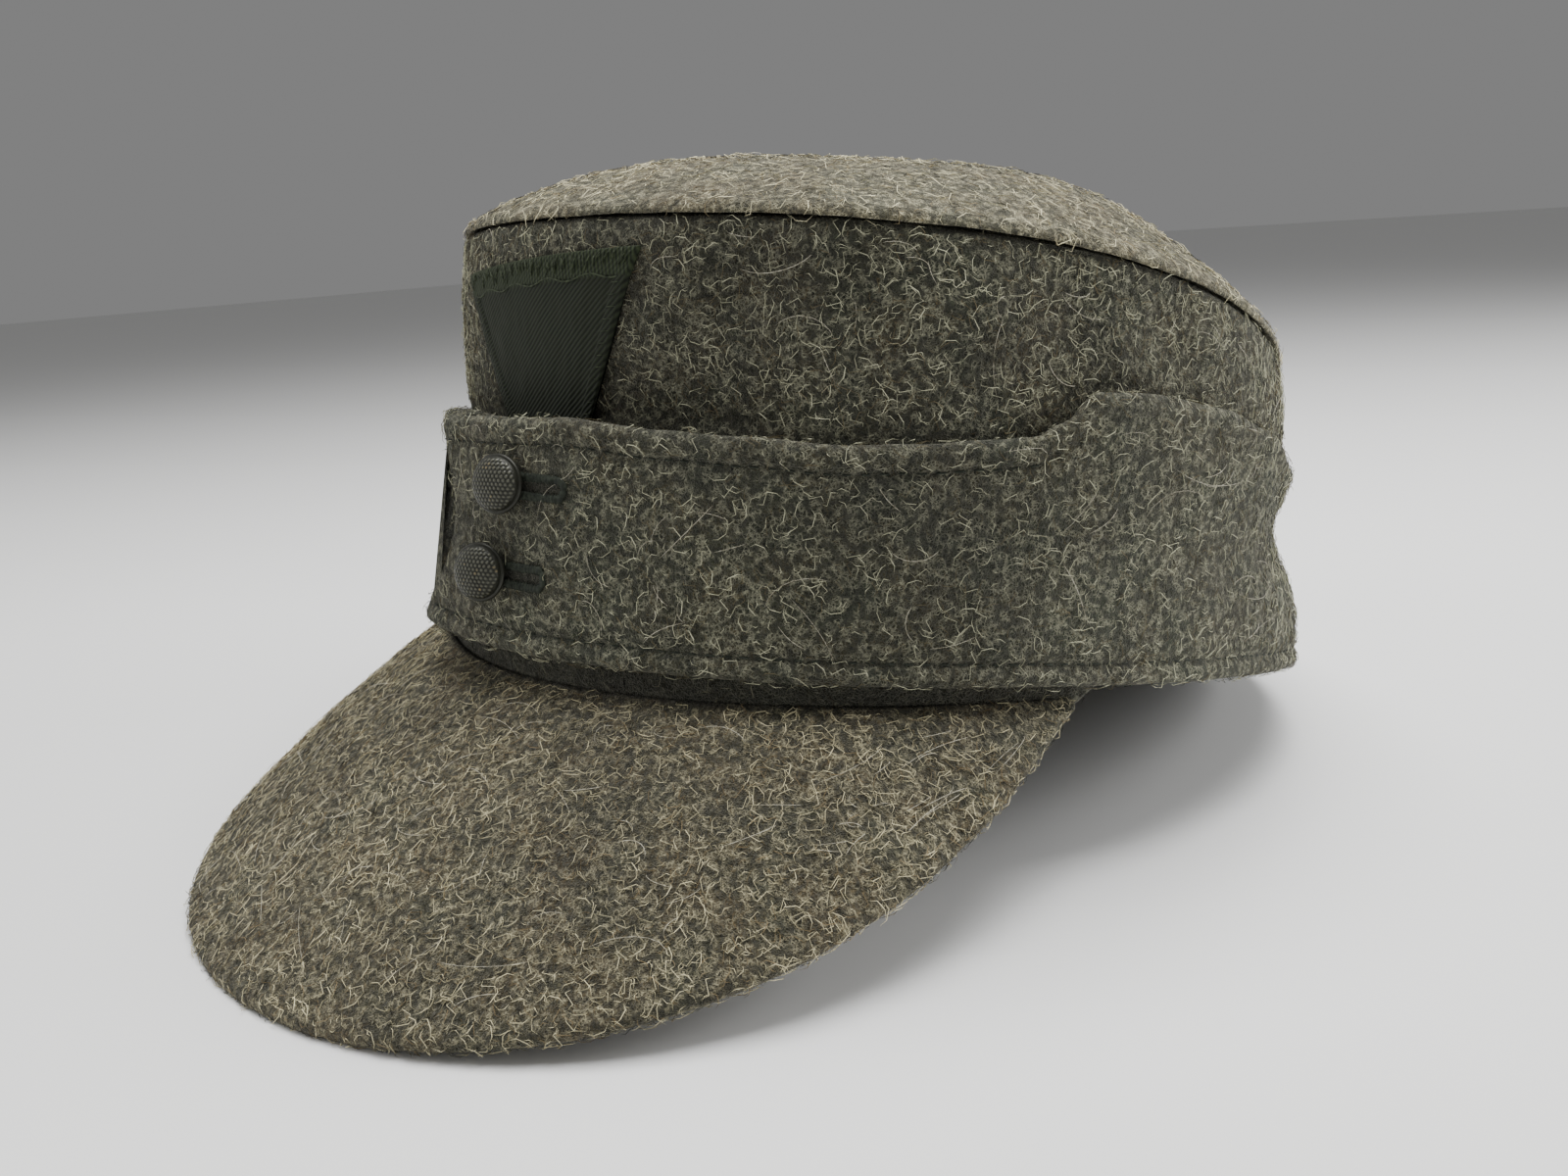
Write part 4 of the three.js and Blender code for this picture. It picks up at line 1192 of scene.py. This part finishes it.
for index, (name, place, key, slot, span, columns, rows, share) in enumerate((
    ("crownSide", sidePlace, "body", "wool_body", (0.3, 0.64), 300, 44, 0.95),
    ("rim", rimPlace, "band", "wool_body", (-0.02, 0.09), 300, 10, 0.2),
    ("crownTop", topPlace, "top", "wool_body", (0.004, 0.735), 260, 54, 0.9),
    ("turnUp", turnUpPlace, "turnUp", "wool_turn_up", (-0.05, 0.62), 420, 70, 1.0),
    ("peak", peakPlace, "peak", "wool_peak", (0.0, 0.66), 220, 60, 0.95),
)):
    skin, area = outerSkin(name + "Skin", place, columns, rows, span)
    grow = skin.modifiers.new("nap", "NODES")
    grow.node_group = napTree
    grow[napInputs["Density"]] = nap["fibres"] * share / area
    grow[napInputs["Seed"]] = nap["seed"] + index
    grown = evaluatedCopy(skin, name + "Nap")
    grown.data.materials.clear()
    grown.data.materials.append(napMaterials[key])
    for polygon in grown.data.polygons:
        polygon.material_index = 0
    for vert in grown.data.vertices:
        vert.co.z = max(vert.co.z, 0)
    finishPiece(grown, slot)
    bpy.data.objects.remove(skin)
    print(name, "nap", len(grown.data.polygons), "faces, area", round(area * 1e6), "mm2")

for made in list(needles.objects):
    bpy.data.objects.remove(made)
bpy.data.collections.remove(needles)

studio = {"floor": (0.84, 0.84, 0.83), "floorHalf": 6, "world": 0.22, "aim": (0, 0, 0.06)}
lamps = {  # place, size and power of each soft light; all look at the cap
    "key": ((0.05, 0.1, 0.75), 0.55, 11),
    "left": ((-0.75, -0.75, 0.5), 0.6, 4.4),
    "right": ((0.7, 0.85, 0.4), 0.6, 10),
}


bm = bmesh.new()
bmesh.ops.create_grid(bm, x_segments=1, y_segments=1, size=studio["floorHalf"])
paleFloor = newMaterial("pale_floor", {"Base Color": studio["floor"], "Roughness": 0.9})[0]
toObject(bm, "floor", [paleFloor])

world = bpy.data.worlds.new("studio")
bpy.context.scene.world = world
world.use_nodes = True
backdrop = world.node_tree.nodes["Background"]
Nodes(world.node_tree).feed(backdrop, {"Color": (1, 1, 1), "Strength": studio["world"]})


def softLight(name, place, aim, size, power):
    lamp = bpy.data.lights.new(name, "AREA")
    lamp.size = size
    lamp.energy = power
    made = toScene(name, lamp)
    made.location = place
    made.rotation_euler = (Vector(place) - Vector(aim)).to_track_quat("Z", "Y").to_euler()


for name, (place, size, power) in lamps.items():
    softLight(name, place, studio["aim"], size, power)

sight = {
    "azimuth": 47.318, "elevation": 7.727, "roll": 3.654, "away": 327.43, "right": -21.044, "up": 7.22,
    "sensor": 36, "lens": 30.68, "near": 0.01, "far": 50,
}


def photoCamera():  # turned and placed round the level cap, then settled with it
    azimuth, elevation, roll = (radians(sight[key]) for key in ("azimuth", "elevation", "roll"))
    level = Vector((cos(azimuth), sin(azimuth), 0))
    ahead = Vector((sin(azimuth), -cos(azimuth), 0))
    back = ahead * cos(elevation) + Vector((0, 0, sin(elevation)))
    above = back.cross(level)
    right = level * cos(roll) + above * sin(roll)
    up = above * cos(roll) - level * sin(roll)
    data = bpy.data.cameras.new("camera")
    data.sensor_width, data.lens = sight["sensor"], sight["lens"]
    data.clip_start, data.clip_end = sight["near"], sight["far"]
    made = toScene("camera", data)
    axes = Matrix((turned(right), turned(up), turned(back))).transposed().to_4x4()
    spot = settled(back * sight["away"] + right * sight["right"] + up * sight["up"])
    made.matrix_world = Matrix.Translation(spot) @ axes
    bpy.context.scene.camera = made


photoCamera()
